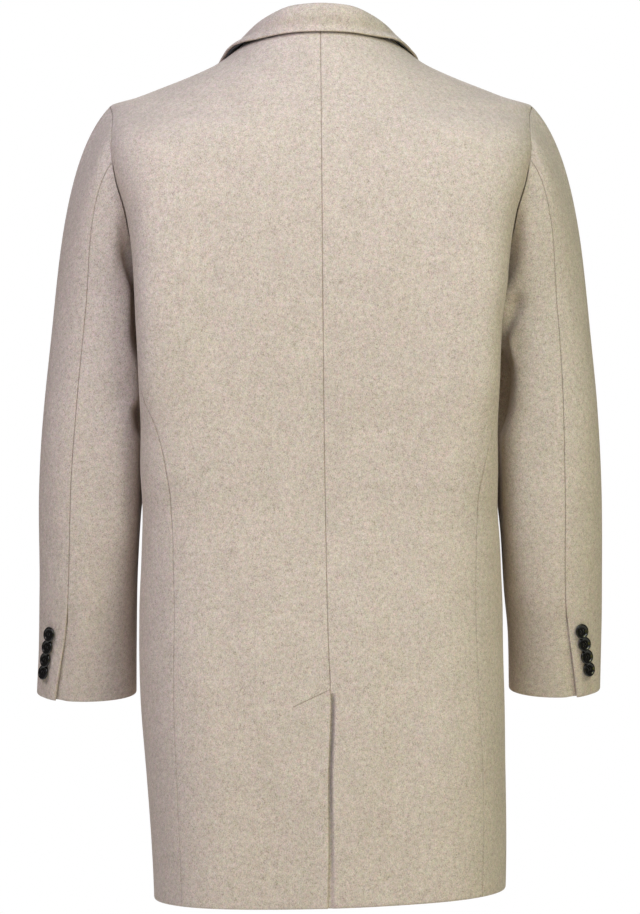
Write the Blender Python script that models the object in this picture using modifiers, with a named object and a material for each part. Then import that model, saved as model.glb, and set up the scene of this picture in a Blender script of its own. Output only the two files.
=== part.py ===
import math
from collections import namedtuple

import bmesh
import bpy
import numpy as np
from mathutils import Matrix

# Sizes in metres; the nape of the neck is at height zero, the coat's front faces -Y and its wearer's left is +X
WALL = 0.0022
SEAM_GAP = 0.0003
LAYER_GAP = 0.0006
HEM = -0.9270
CHEST = -0.240
UNDERARM = -0.265
SHOULDER_POINT = -0.0775
NECK_POINT = -0.0126
HEM_TILT = 0.030
HEM_SWAY = -0.0095
HEM_RISE = 0.0055
SWAY_START = -0.640

VENT_TOP = -0.6985
VENT_SLANT = 0.018
UNDERLAP = 0.040
VENT_DEPTH = 0.0032
VENT_REACH = 0.018

FRONT_LAP = 0.035
BREAK = -0.345
GORGE = -0.062
LAPEL_WALL = 0.0024
LAPEL_TIP = (0.150, -0.108)
LAPEL_FULLNESS = 0.007
LAPEL_ROLL = 0.0030
LAPEL_END = 0.006
LAPEL_SHOWS = 0.26
LAPEL_CLEAR = 0.004

COLLAR_WALL = 0.0026
STAND_WALL = 0.0020
FELT_WALL = 0.0012
FALL_BULGE = 0.0042
STAND_SHARE = 0.84
STAND_ENDS = 0.35
FALL_CLEAR = 0.0010
RIGHT_COLLAR = 0.96

CUFF_VENT_TOP = -0.632
RIGHT_SLEEVE_RISE = 0.0045
CUFF_LAP = 17.0
CUFF_LIFT = 0.0022
CUFF_EASE = 0.055
CUFF_TURN = 26.0
CAP_SPREAD = 0.42
CAP_ROUND = 0.27
CAP_FALL = 0.30
SLEEVE_START = 0.0010
SLEEVE_CLEAR = 0.0025

FLAP_WALL = 0.0024
FLAP_TOP = -0.548
FLAP_HEIGHT = 0.058
FLAP_FROM = 24.0
FLAP_TO = 79.0
FLAP_FALL = 0.010

SLEEVE_BUTTON = 0.0162
SLEEVE_BUTTON_THICK = 0.0026
SLEEVE_BUTTON_TILT = 13.0
SLEEVE_BUTTON_PITCH = 0.0142
FRONT_BUTTON = 0.0240
FRONT_BUTTON_THICK = 0.0036
FRONT_BUTTON_TOP = -0.362
FRONT_BUTTON_PITCH = 0.115
FRONT_BUTTONS = 3
SLEEVE_BUTTONS = 4

# The body's cross-section at each height: half of its width, its depth to the back and to the front,
# how square the back and front corners are, and how far the hanging arm presses the side in
Level = namedtuple("Level", "z half_width back front back_square front_square press")
LEVELS = (
    Level(0.0120, 0.0540, 0.066, 0.048, 2.0, 2.0, 0.000),
    Level(0.0000, 0.0670, 0.075, 0.052, 2.0, 2.0, 0.000),
    Level(-0.0126, 0.0830, 0.083, 0.055, 2.0, 2.0, 0.000),
    Level(-0.0335, 0.1105, 0.094, 0.061, 2.0, 2.0, 0.000),
    Level(-0.0465, 0.1380, 0.101, 0.065, 2.1, 2.1, 0.000),
    Level(-0.0595, 0.1712, 0.107, 0.070, 2.2, 2.1, 0.000),
    Level(-0.0700, 0.1990, 0.112, 0.075, 2.3, 2.2, 0.000),
    Level(-0.0775, 0.2247, 0.115, 0.078, 2.3, 2.2, 0.000),
    Level(-0.0805, 0.2292, 0.1165, 0.0795, 2.3, 2.2, 0.000),
    Level(-0.1200, 0.2300, 0.128, 0.098, 2.4, 2.3, 0.000),
    Level(-0.1600, 0.2275, 0.136, 0.113, 2.5, 2.4, 0.004),
    Level(-0.2000, 0.2210, 0.140, 0.125, 2.7, 2.4, 0.018),
    Level(-0.2500, 0.2110, 0.141, 0.134, 2.9, 2.5, 0.038),
    Level(-0.3000, 0.2070, 0.139, 0.139, 2.9, 2.5, 0.039),
    Level(-0.3600, 0.2030, 0.134, 0.140, 2.9, 2.5, 0.030),
    Level(-0.4200, 0.1985, 0.128, 0.138, 2.8, 2.5, 0.018),
    Level(-0.4700, 0.1955, 0.125, 0.136, 2.8, 2.5, 0.0058),
    Level(-0.5150, 0.1910, 0.123, 0.135, 2.7, 2.5, 0.001),
    Level(-0.5600, 0.1920, 0.126, 0.136, 2.6, 2.5, 0.000),
    Level(-0.6200, 0.1945, 0.131, 0.139, 2.6, 2.5, 0.000),
    Level(-0.7000, 0.1950, 0.136, 0.140, 2.6, 2.5, 0.000),
    Level(-0.8000, 0.1920, 0.139, 0.141, 2.6, 2.5, 0.000),
    Level(-0.9500, 0.1875, 0.138, 0.140, 2.6, 2.5, 0.000),
)
PRESS_FRONT = (-0.105, -0.065)
PRESS_BACK = (0.020, 0.068)

# Where the seams run: the side seams and the armhole as depth at each height, the centre back as width
Seam = namedtuple("Seam", "z place")
CENTRE_BACK = (
    Seam(0.000, 0.0005), Seam(-0.180, -0.0010), Seam(-0.400, -0.0030), Seam(-0.610, -0.0065),
    Seam(-0.700, -0.0088), Seam(-0.800, -0.0020), Seam(-0.925, 0.0024),
)
SIDE_BACK = (
    Seam(-0.240, 0.046), Seam(-0.320, 0.054), Seam(-0.400, 0.064), Seam(-0.450, 0.073),
    Seam(-0.500, 0.081), Seam(-0.560, 0.086), Seam(-0.700, 0.091), Seam(-0.925, 0.093),
)
LEFT_SEAM_IN = 0.006
SIDE_FRONT = (Seam(-0.240, -0.052), Seam(-0.360, -0.060), Seam(-0.500, -0.068), Seam(-0.925, -0.078))
ARMHOLE_BACK = (
    Seam(-0.0775, 0.000), Seam(-0.095, 0.022), Seam(-0.120, 0.044), Seam(-0.150, 0.061),
    Seam(-0.180, 0.068), Seam(-0.210, 0.062), Seam(-0.240, 0.046),
)
ARMHOLE_FRONT = (
    Seam(-0.0775, 0.000), Seam(-0.095, -0.022), Seam(-0.120, -0.042), Seam(-0.150, -0.058),
    Seam(-0.180, -0.066), Seam(-0.210, -0.063), Seam(-0.240, -0.052),
)

# Soft folds of the body: where each lies round the body in degrees from the centre back towards the wearer's
# left, its height, how long and wide it is, and how far it stands out
Fold = namedtuple("Fold", "turn z length width height")
BODY_FOLDS = (
    Fold(-52.0, -0.800, 0.150, 11.0, 0.0035),
    Fold(-28.0, -0.860, 0.120, 12.0, -0.0025),
    Fold(48.0, -0.850, 0.130, 12.0, 0.0030),
    Fold(24.0, -0.840, 0.110, 12.0, -0.0020),
    Fold(140.0, -0.820, 0.140, 14.0, 0.0030),
    Fold(-142.0, -0.840, 0.140, 14.0, -0.0030),
    Fold(62.0, -0.330, 0.080, 12.0, 0.0020),
    Fold(-62.0, -0.350, 0.080, 12.0, 0.0020),
)

# The hanging sleeve's cross-section at each height: its middle, its half sizes and how far its plane leans
Section = namedtuple("Section", "z middle_x middle_y half_x half_y lean right_x right_half")
SLEEVE = (
    Section(-0.300, 0.2298, -0.012, 0.0580, 0.0760, 0.00, 0.2298, 0.0580),
    Section(-0.400, 0.2402, -0.010, 0.0572, 0.0700, 0.02, 0.2396, 0.0572),
    Section(-0.500, 0.2487, -0.014, 0.0553, 0.0650, 0.05, 0.2472, 0.0553),
    Section(-0.600, 0.2515, -0.027, 0.0528, 0.0590, 0.12, 0.2506, 0.0531),
    Section(-0.655, 0.2527, -0.038, 0.0530, 0.0535, 0.15, 0.2532, 0.0506),
    Section(-0.712, 0.2546, -0.050, 0.0542, 0.0470, 0.17, 0.2537, 0.0496),
)

# The sleeve's seams in degrees round it, from the outside towards the back
SleeveSeam = namedtuple("SleeveSeam", "z back_left back_right front")
SLEEVE_SEAMS = (
    SleeveSeam(-0.0775, 70.0, 68.0, 232.0),
    SleeveSeam(-0.300, 70.0, 69.0, 235.0),
    SleeveSeam(-0.500, 71.0, 77.0, 238.0),
    SleeveSeam(-0.600, 69.0, 79.0, 238.0),
    SleeveSeam(-0.712, 54.5, 64.0, 236.0),
)

# Soft folds of the sleeves: the sleeve, degrees round it, height, length, width in degrees, height and slope
SleeveFold = namedtuple("SleeveFold", "side turn z length width height slope")
SLEEVE_FOLDS = (
    SleeveFold(1, 118.0, -0.225, 0.030, 24.0, -0.0040, 120.0),
    SleeveFold(1, 112.0, -0.395, 0.026, 34.0, -0.0034, 200.0),
    SleeveFold(1, 140.0, -0.440, 0.024, 30.0, -0.0026, -150.0),
    SleeveFold(1, 40.0, -0.420, 0.060, 30.0, 0.0025, 0.0),
    SleeveFold(1, 285.0, -0.430, 0.024, 40.0, -0.0050, -160.0),
    SleeveFold(-1, 122.0, -0.330, 0.050, 28.0, -0.0034, 150.0),
    SleeveFold(-1, 105.0, -0.410, 0.026, 34.0, -0.0026, -180.0),
    SleeveFold(-1, 45.0, -0.400, 0.060, 30.0, 0.0025, 0.0),
    SleeveFold(-1, 280.0, -0.410, 0.024, 40.0, -0.0050, 160.0),
)

# The collar round the neck, from the centre back to the end on the front: seam, fold and outer edge
Station = namedtuple("Station", "turn seam_x seam_y seam_z fold_x fold_y fold_z edge_x edge_y edge_z")
COLLAR = (
    Station(0.0, 0.0000, 0.0750, 0.0007, 0.0000, 0.0800, 0.0205, 0.0000, 0.0880, -0.0055),
    Station(20.0, 0.0284, 0.0690, -0.0005, 0.0275, 0.0735, 0.0190, 0.0350, 0.0810, -0.0060),
    Station(45.0, 0.0587, 0.0478, -0.0040, 0.0532, 0.0515, 0.0105, 0.0705, 0.0570, -0.0115),
    Station(70.0, 0.0780, 0.0220, -0.0084, 0.0698, 0.0235, 0.0000, 0.0920, 0.0270, -0.0200),
    Station(90.0, 0.0830, 0.0000, -0.0104, 0.0754, -0.0020, -0.0055, 0.1065, -0.0030, -0.0285),
    Station(115.0, 0.0804, -0.0300, -0.0178, 0.0756, -0.0318, -0.0130, 0.1195, -0.0345, -0.0400),
    Station(140.0, 0.0733, -0.0528, -0.0388, 0.0720, -0.0552, -0.0345, 0.1290, -0.0510, -0.0550),
    Station(160.0, 0.0690, -0.0618, -0.0508, 0.0685, -0.0645, -0.0475, 0.1310, -0.0655, -0.0715),
    Station(180.0, 0.0662, -0.0665, -0.0588, 0.0660, -0.0695, -0.0565, 0.1170, -0.0800, -0.0860),
)

# The rows of cuff buttons: degrees round the sleeve of the first and last one, and the height of the first
ButtonRow = namedtuple("ButtonRow", "side first last z")
BUTTON_ROWS = (ButtonRow(1, 45.0, 35.5, -0.6407), ButtonRow(-1, 60.5, 48.5, -0.6398))

# Turned profiles of the buttons as shares of half the width and of the thickness
Turn = namedtuple("Turn", "radius height")
BUTTON_PROFILE = (
    Turn(0.00, 0.00), Turn(0.86, 0.00), Turn(1.00, 0.35), Turn(1.00, 0.75),
    Turn(0.90, 1.00), Turn(0.76, 0.96), Turn(0.62, 0.68), Turn(0.00, 0.60),
)

# Colours
Look = namedtuple("Look", "red green blue rough")
WOOL = Look(0.60, 0.53, 0.47, 0.95)
FELT = Look(0.055, 0.062, 0.080, 0.95)
HORN = Look(0.012, 0.012, 0.012, 0.35)

# How finely the pieces are divided
BACK_COLUMNS = 10
LAP_COLUMNS = 3
SIDE_COLUMNS = 5
FRONT_COLUMNS = 10
UPPER_ROWS = 9
TOP_SLEEVE_COLUMNS = 12
UNDER_SLEEVE_COLUMNS = 9
CAP_ROWS = 7
LAPEL_ROWS = 11
LAPEL_COLUMNS = 4
COLLAR_STEPS = 30


def smooth(table, name, at):
    """A column of a table at any place along its first column, as a smooth curve that never overshoots."""
    rows = sorted(table)
    knots = np.array([row[0] for row in rows])
    values = np.array([getattr(row, name) for row in rows])
    steps = np.diff(knots)
    rises = np.diff(values) / steps
    slopes = np.zeros_like(values)
    slopes[0], slopes[-1] = rises[0], rises[-1]
    for index in range(1, len(rises)):
        before, after = rises[index - 1], rises[index]
        if before * after > 0:
            slopes[index] = 2 * before * after / (before + after)
    at = np.asarray(at, dtype=float)
    place = np.clip(np.searchsorted(knots, at) - 1, 0, len(steps) - 1)
    share = np.clip((at - knots[place]) / steps[place], 0, 1)
    rest = 1 - share
    return (values[place] * (1 + 2 * share) * rest ** 2
            + values[place + 1] * (3 - 2 * share) * share ** 2
            + slopes[place] * steps[place] * share * rest ** 2
            - slopes[place + 1] * steps[place] * share ** 2 * rest)


def ease(low, high, at):
    """A soft step from 0 at low to 1 at high."""
    share = np.clip((np.asarray(at, dtype=float) - low) / (high - low), 0, 1)
    return share * share * (3 - 2 * share)


def unit(vectors):
    return vectors / np.maximum(np.linalg.norm(vectors, axis=-1, keepdims=True), 1e-12)


def press(y, z):
    """How far the hanging arm presses the body's side in."""
    return smooth(LEVELS, "press", z) * ease(*PRESS_FRONT, y) * (1 - ease(*PRESS_BACK, y))


def facing(y, z):
    """Depth and squareness of the half of the body that y lies in."""
    behind = np.asarray(y) >= 0
    depth = np.where(behind, smooth(LEVELS, "back", z), smooth(LEVELS, "front", z))
    square = np.where(behind, smooth(LEVELS, "back_square", z), smooth(LEVELS, "front_square", z))
    return depth, square


def body_width(y, z):
    """Half of the body's width at a depth, before the arm presses it in."""
    depth, square = facing(y, z)
    share = np.clip(np.abs(y) / depth, 0, 1)
    return smooth(LEVELS, "half_width", z) * (1 - share ** square) ** (1 / square)


def body_from_width(width, z, way):
    """Points of the body at a width: way is 1 for its back and -1 for its front."""
    width, z = np.broadcast_arrays(np.asarray(width, dtype=float), np.asarray(z, dtype=float))
    depth, square = facing(way * np.ones_like(z), z)
    share = np.clip(np.abs(width) / smooth(LEVELS, "half_width", z), 0, 1)
    y = way * depth * (1 - share ** square) ** (1 / square)
    x = np.sign(width) * (np.abs(width) - press(y, z))
    return np.stack([x, y, z], axis=-1)


def body_from_depth(y, z, side):
    """Points of the body's left (1) or right (-1) side at a depth."""
    y, z = np.broadcast_arrays(np.asarray(y, dtype=float), np.asarray(z, dtype=float))
    return np.stack([side * (body_width(y, z) - press(y, z)), y, z], axis=-1)


def fullness(points):
    """How far outside the body's form each point lies."""
    x, y, z = points[..., 0], points[..., 1], points[..., 2]
    depth, square = facing(y, z)
    width = (np.abs(x) + press(y, z)) / smooth(LEVELS, "half_width", z)
    return width ** square + (np.abs(y) / depth) ** square


def body_normal(points):
    """Directions straight out of the body's form."""
    step = 0.0004
    slopes = []
    for axis in range(3):
        shift = np.zeros(3)
        shift[axis] = step
        slopes.append(fullness(points + shift) - fullness(points - shift))
    return unit(np.stack(slopes, axis=-1))


def body_fold(points):
    """How far the soft folds stand out of the body's form."""
    turn = np.degrees(np.arctan2(points[..., 0], points[..., 1]))
    height = np.zeros(points.shape[:-1])
    for fold in BODY_FOLDS:
        across = (turn - fold.turn) / fold.width
        along = (points[..., 2] - fold.z) / fold.length
        height += fold.height * np.exp(-across ** 2 - along ** 2)
    return height


def settle(points):
    """The lower body hangs a little to one side and its hem a little askew."""
    drop = ease(SWAY_START, HEM, points[..., 2])
    moved = points.copy()
    moved[..., 0] += HEM_SWAY * drop
    moved[..., 2] += (HEM_RISE * (points[..., 0] / LEVELS[-1].half_width) ** 2 - HEM_TILT * points[..., 0]) * drop
    return moved


def pull_back(grid, first_row=False, last_row=False, first_column=False, last_column=False):
    """Shortens a panel by half of the seam gap at the edges that are sewn."""
    grid = grid.copy()
    half = SEAM_GAP / 2
    if first_row:
        grid[0] += unit(grid[1] - grid[0]) * half
    if last_row:
        grid[-1] += unit(grid[-2] - grid[-1]) * half
    if first_column:
        grid[:, 0] += unit(grid[:, 1] - grid[:, 0]) * half
    if last_column:
        grid[:, -1] += unit(grid[:, -2] - grid[:, -1]) * half
    return grid


def body_wall(grid, lift, thickness):
    """Outer and inner faces of a panel that lies on the body's form, lifted off it by lift."""
    normal = body_normal(grid)
    top = (lift + body_fold(grid))[..., None]
    return settle(grid + normal * top), settle(grid + normal * (top - thickness))


def patch(bottom, top, left, right, across, upward):
    """A surface between four edges."""
    across, upward = across[None, :, None], upward[:, None, None]
    corners = ((1 - upward) * ((1 - across) * bottom[0] + across * bottom[-1])
               + upward * ((1 - across) * top[0] + across * top[-1]))
    return ((1 - upward) * bottom[None] + upward * top[None]
            + (1 - across) * left[:, None] + across * right[:, None] - corners)


def lower_rows():
    """Heights of the rows from the hem to the chest."""
    below = np.linspace(HEM, VENT_TOP - VENT_SLANT, 6)
    above = np.linspace(VENT_TOP, CHEST, 12)
    return np.concatenate([below, above])


def spread(columns):
    """Shares across a panel, closer together where it turns to the side."""
    return np.sin(np.linspace(0, 1, columns + 1) * 1.2) / math.sin(1.2)


def ridge(widths):
    """Heights of the shoulder line at widths from the neck."""
    heights = np.linspace(SHOULDER_POINT, 0, 400)
    return np.interp(-widths, -smooth(LEVELS, "half_width", heights), heights)


def back_edge(z, side):
    """Where a back panel ends near the centre back: the right one reaches under the left one at the vent."""
    centre = smooth(CENTRE_BACK, "place", z)
    if side > 0:
        return centre
    return centre + UNDERLAP * (z < VENT_TOP - 0.5 * VENT_SLANT)


def side_seam(z, side):
    """Depth of the seam between the back and the side, further back on the wearer's left."""
    return smooth(SIDE_BACK, "place", z) + LEFT_SEAM_IN * (side > 0) * ease(CHEST - 0.080, CHEST - 0.260, z)


def back_panel(side):
    across = spread(BACK_COLUMNS)
    heights = lower_rows()
    edge = back_edge(heights, side)
    seam = side * body_width(side_seam(heights, side), heights)
    centre = smooth(CENTRE_BACK, "place", heights)
    widths = centre[:, None] + (seam - centre)[:, None] * across[None, :]
    if side < 0:
        first = np.linspace(0, 1, LAP_COLUMNS + 1)[None, :]
        widths[:, :LAP_COLUMNS + 1] = edge[:, None] + (widths[:, LAP_COLUMNS] - edge)[:, None] * first
    lower = np.stack([widths, np.broadcast_to(heights[:, None], widths.shape)], axis=-1)
    rise = 1 - (1 - np.linspace(0, 1, UPPER_ROWS + 1)) ** 1.9
    centre_heights = CHEST * (1 - rise)
    left = np.stack([back_edge(centre_heights, side), centre_heights], axis=-1)
    arm_heights = CHEST + (SHOULDER_POINT - CHEST) * rise
    right = np.stack([side * body_width(smooth(ARMHOLE_BACK, "place", arm_heights), arm_heights),
                      arm_heights], axis=-1)
    neck_width = smooth(LEVELS, "half_width", NECK_POINT)
    shoulder_width = smooth(LEVELS, "half_width", SHOULDER_POINT)
    turn = 0.42
    neck = np.sin(np.clip(across / turn, 0, 1) * math.pi / 2)
    shoulder = np.clip((across - turn) / (1 - turn), 0, 1)
    along = neck_width + (shoulder_width - neck_width) * shoulder
    top_heights = np.where(across < turn, NECK_POINT * neck ** 2.2, ridge(along))
    top_widths = np.where(across < turn, neck_width * neck,
                          smooth(LEVELS, "half_width", top_heights))
    top = np.stack([side * top_widths, top_heights], axis=-1)
    top[0, 0] = left[-1, 0]
    upper = patch(lower[-1], top, left, right, across, rise)
    plan = np.concatenate([lower, upper[1:]])
    grid = body_from_width(plan[..., 0], plan[..., 1], 1)
    grid = pull_back(grid, first_column=True, last_column=True)
    shoulder_row = pull_back(grid, last_row=True)[-1]
    grid[-1, across >= turn] = shoulder_row[across >= turn]
    lift = np.zeros(grid.shape[:-1])
    if side < 0:
        near = ease(-VENT_REACH, -0.002, plan[..., 0] - smooth(CENTRE_BACK, "place", plan[..., 1]))
        low = 1 - ease(VENT_TOP + 0.004, VENT_TOP + 0.060, plan[..., 1])
        lift = -(WALL + VENT_DEPTH) * near * low
    return body_wall(grid, lift, WALL)


def side_panel(side):
    share = np.linspace(0, 1, SIDE_COLUMNS + 1)
    heights = lower_rows()
    rise = (heights - HEM) / (CHEST - HEM)
    bend = (UNDERARM - CHEST) * (1 - (2 * share - 1) ** 2)
    z = heights[:, None] + bend[None, :] * rise[:, None] ** 3
    back = side_seam(z, side)
    front = smooth(SIDE_FRONT, "place", z)
    y = back + (front - back) * share[None, :]
    grid = body_from_depth(y, z, side)
    grid = pull_back(grid, last_row=True, first_column=True, last_column=True)
    return body_wall(grid, np.zeros(grid.shape[:-1]), WALL)


def roll_line(z):
    """Width of the left front's edge: straight up to the break, then along the roll of the lapel."""
    neck_width = smooth(LEVELS, "half_width", NECK_POINT)
    share = np.clip((np.asarray(z) - BREAK) / (NECK_POINT - BREAK), 0, 1)
    return -FRONT_LAP + (neck_width + FRONT_LAP) * share


def front_lift(widths, side):
    """The right front lies under the left one at the closure."""
    if side > 0:
        return np.zeros_like(widths)
    return -(WALL + LAYER_GAP) * ease(-FRONT_LAP - 0.050, -FRONT_LAP - 0.014, widths)


def front_panel(side):
    across = spread(FRONT_COLUMNS)
    heights = lower_rows()
    edge = side * roll_line(heights)
    seam = side * body_width(smooth(SIDE_FRONT, "place", heights), heights)
    widths = edge[:, None] + (seam - edge)[:, None] * across[None, :]
    lower = np.stack([widths, np.broadcast_to(heights[:, None], widths.shape)], axis=-1)
    rise = 1 - (1 - np.linspace(0, 1, UPPER_ROWS + 1)) ** 1.9
    roll_heights = CHEST + (NECK_POINT - CHEST) * rise
    left = np.stack([side * roll_line(roll_heights), roll_heights], axis=-1)
    arm_heights = CHEST + (SHOULDER_POINT - CHEST) * rise
    right = np.stack([side * body_width(smooth(ARMHOLE_FRONT, "place", arm_heights), arm_heights),
                      arm_heights], axis=-1)
    neck_width = smooth(LEVELS, "half_width", NECK_POINT)
    shoulder_width = smooth(LEVELS, "half_width", SHOULDER_POINT)
    top_heights = ridge(neck_width + (shoulder_width - neck_width) * across)
    top = np.stack([side * smooth(LEVELS, "half_width", top_heights), top_heights], axis=-1)
    upper = patch(lower[-1], top, left, right, across, rise)
    plan = np.concatenate([lower, upper[1:]])
    grid = body_from_width(plan[..., 0], plan[..., 1], -1)
    grid = pull_back(grid, last_row=True, last_column=True)
    return body_wall(grid, front_lift(plan[..., 0], side), WALL)


def lapel_edge(share):
    """Outer edge of the left lapel from the break to its tip, as width and height."""
    start = np.array([-FRONT_LAP + LAPEL_END, BREAK])
    way = np.array(LAPEL_TIP) - start
    out = np.array([-way[1], way[0]]) / np.linalg.norm(way)
    return start + way * share[:, None] - out * (LAPEL_FULLNESS * np.sin(math.pi * share))[:, None]


def lapel(side):
    """A lapel turned back on its front; the right one comes out from under the left front."""
    share = np.linspace(0 if side > 0 else LAPEL_SHOWS, 1, LAPEL_ROWS + 1)
    heights = BREAK + (GORGE - BREAK) * share
    roll = roll_line(heights)
    if side < 0:
        roll = np.maximum(roll, LAPEL_CLEAR - roll)
    inner = np.stack([roll, heights], axis=-1)
    across = np.linspace(0, 1, LAPEL_COLUMNS + 1)
    plan = inner[:, None] + (lapel_edge(share) - inner)[:, None] * across[None, :, None]
    grid = body_from_width(side * plan[..., 0], plan[..., 1], -1)
    lift = LAYER_GAP + LAPEL_WALL + LAPEL_ROLL * np.exp(-(across / 0.22) ** 2)
    return body_wall(grid, np.broadcast_to(lift, grid.shape[:-1]), LAPEL_WALL)


def sleeve_seam(name, z):
    return smooth(SLEEVE_SEAMS, name, z)


def armhole(turn):
    """Points and outward directions of the left armhole, by degrees from the shoulder."""
    heights = np.linspace(SHOULDER_POINT, CHEST, 120)
    shares = np.linspace(0, 1, 40)
    halves = []
    for table, seam in ((ARMHOLE_BACK, SIDE_BACK), (ARMHOLE_FRONT, SIDE_FRONT)):
        down = body_from_depth(smooth(table, "place", heights), heights, 1)
        first = smooth(SIDE_BACK, "place", CHEST)
        last = smooth(SIDE_FRONT, "place", CHEST)
        start = smooth(seam, "place", CHEST)
        y = start + (0.5 * (first + last) - start) * shares
        bend = (UNDERARM - CHEST) * (1 - ((2 * y - first - last) / (first - last)) ** 2)
        under = body_from_depth(y, CHEST + bend, 1)
        line = np.concatenate([down, under[1:]])
        length = np.concatenate([[0], np.cumsum(np.linalg.norm(np.diff(line, axis=0), axis=1))])
        halves.append((line, length / length[-1]))
    turn = np.mod(np.asarray(turn, dtype=float), 360.0)

    def place(degrees):
        degrees = np.mod(degrees, 360.0)
        share = np.where(degrees <= 180, degrees, 360 - degrees) / 180
        found = []
        for line, length in halves:
            found.append(np.stack([np.interp(share, length, line[:, axis]) for axis in range(3)], axis=-1))
        return np.where((degrees <= 180)[..., None], found[0], found[1])

    points = place(turn)
    return points, body_normal(points)


def tube(z, turn):
    """Points of the hanging left sleeve below the armhole."""
    angle = np.radians(turn)
    x = smooth(SLEEVE, "middle_x", z) + smooth(SLEEVE, "half_x", z) * np.cos(angle)
    y_off = smooth(SLEEVE, "half_y", z) * np.sin(angle)
    y = smooth(SLEEVE, "middle_y", z) + y_off
    return np.stack(np.broadcast_arrays(x, y, z - smooth(SLEEVE, "lean", z) * y_off), axis=-1)


def cap(share, turn):
    """Points of the sleeve between the armhole (0) and the first full section (1)."""
    first = SLEEVE[0].z
    start, normal = armhole(turn)
    under = ((1 - np.cos(np.radians(turn))) / 2)[..., None]
    out, down = np.array([1.0, 0.0, 0.0]), np.array([0.0, 0.0, -1.0])
    leave = unit((1 - under) * out + CAP_SPREAD * under * normal + down)
    start = start + leave * SLEEVE_START + normal * under * SLEEVE_CLEAR
    end = tube(np.full_like(turn, first), turn)
    onward = unit(tube(np.full_like(turn, first - 0.02), turn) - end)
    reach = np.linalg.norm(end - start, axis=-1, keepdims=True)
    near = start + leave * reach * CAP_ROUND
    far = end - onward * reach * CAP_FALL
    s = share[..., None]
    return (1 - s) ** 3 * start + 3 * (1 - s) ** 2 * s * near + 3 * (1 - s) * s ** 2 * far + s ** 3 * end


def sleeve_point(place, turn):
    """Points of the left sleeve: place runs 0 to 1 over the cap, then with the height below it."""
    place, turn = np.broadcast_arrays(np.asarray(place, dtype=float), np.asarray(turn, dtype=float))
    head = cap(np.clip(place, 0, 1), turn)
    length = SLEEVE[-1].z - SLEEVE[0].z
    body = tube(SLEEVE[0].z + np.clip(place - 1, 0, 1) * length, turn)
    return np.where((place <= 1)[..., None], head, body)


def sleeve_normal(place, turn):
    step = 0.004
    along = sleeve_point(np.minimum(place + step, 2), turn) - sleeve_point(np.maximum(place - step, 0), turn)
    round_it = sleeve_point(place, turn + 0.6) - sleeve_point(place, turn - 0.6)
    return unit(np.cross(along, round_it))


def sleeve_fold(points, turn, side):
    height = np.zeros(points.shape[:-1])
    for fold in SLEEVE_FOLDS:
        if fold.side != side:
            continue
        off = np.mod(turn - fold.turn + 180.0, 360.0) - 180.0
        along = points[..., 2] - fold.z - off / fold.slope * 0.1 if fold.slope else points[..., 2] - fold.z
        height += fold.height * np.exp(-(off / fold.width) ** 2 - (along / fold.length) ** 2)
    return height


def hang(points, side):
    """Left sleeve points moved to their own arm; the right sleeve hangs shorter, with a narrower turned cuff."""
    moved = points * np.array([side, 1.0, 1.0])
    if side < 0:
        z = points[..., 2]
        share = (points[..., 0] - smooth(SLEEVE, "middle_x", z)) / smooth(SLEEVE, "half_x", z)
        moved[..., 0] = -smooth(SLEEVE, "right_x", z) - share * smooth(SLEEVE, "right_half", z)
        moved[..., 2] += RIGHT_SLEEVE_RISE * ease(SLEEVE[0].z, SLEEVE[-1].z, points[..., 2])
    return moved


def cuff_lift(heights, from_seam):
    """How far the top sleeve stands out beside its cuff vent, by degrees from the back seam."""
    return CUFF_LIFT * ease(CUFF_VENT_TOP, CUFF_VENT_TOP - CUFF_EASE, heights) * ease(-CUFF_TURN, 0.0, from_seam)


def sleeve_places():
    cap_places = 1 - (1 - np.linspace(0, 1, CAP_ROWS + 1)) ** 1.15
    length = SLEEVE[-1].z - SLEEVE[0].z
    vent = 1 + (CUFF_VENT_TOP - SLEEVE[0].z) / length
    tube_places = np.linspace(1, vent, 10)
    return np.concatenate([cap_places, tube_places[1:], np.linspace(vent + 0.03, 2, 4)])


def sleeve_panel(side, upper):
    """The top sleeve or the under sleeve of the left (1) or right (-1) arm."""
    places = sleeve_places()
    length = SLEEVE[-1].z - SLEEVE[0].z
    seam_heights = np.where(places <= 1, SHOULDER_POINT + (SLEEVE[0].z - SHOULDER_POINT) * places,
                            SLEEVE[0].z + (places - 1) * length)
    back = sleeve_seam("back_left" if side > 0 else "back_right", seam_heights)
    front = sleeve_seam("front", seam_heights)
    vent = seam_heights < CUFF_VENT_TOP - 0.006
    columns = TOP_SLEEVE_COLUMNS if upper else UNDER_SLEEVE_COLUMNS
    share = np.linspace(0, 1, columns + 1)
    if upper:
        turn = (front - 360)[:, None] + (back - front + 360)[:, None] * share[None, :]
    else:
        start = back - np.where(vent, CUFF_LAP, 0)
        turn = start[:, None] + (front - start)[:, None] * share[None, :]
    place = np.broadcast_to(places[:, None], turn.shape)
    grid = sleeve_point(place, turn)
    normal = sleeve_normal(place, turn)
    from_seam = turn - back[:, None]
    if upper:
        grid = pull_back(grid, first_column=True)
        closed = ~vent
        grid[closed] = pull_back(grid, last_column=True)[closed]
        lift = cuff_lift(seam_heights[:, None], from_seam)
    else:
        grid = pull_back(grid, last_column=True)
        closed = ~vent
        grid[closed] = pull_back(grid, first_column=True)[closed]
        below = ease(CUFF_VENT_TOP + 0.030, CUFF_VENT_TOP - 0.002, seam_heights)[:, None]
        lift = -(WALL + LAYER_GAP) * below * (1 - ease(4.0, 16.0, from_seam))
    lift = lift + sleeve_fold(grid, turn, side) * ease(0.0, 0.45, place)
    outer = grid + normal * lift[..., None]
    depth = normal.copy()
    body_way = armhole(turn[0])[1]
    bent_in = np.sum(normal[0] * body_way, axis=-1) > 0.25
    depth[0] = np.where(bent_in[..., None], body_way, normal[0])
    inner = outer - depth * WALL
    return hang(outer, side), hang(inner, side)


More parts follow.
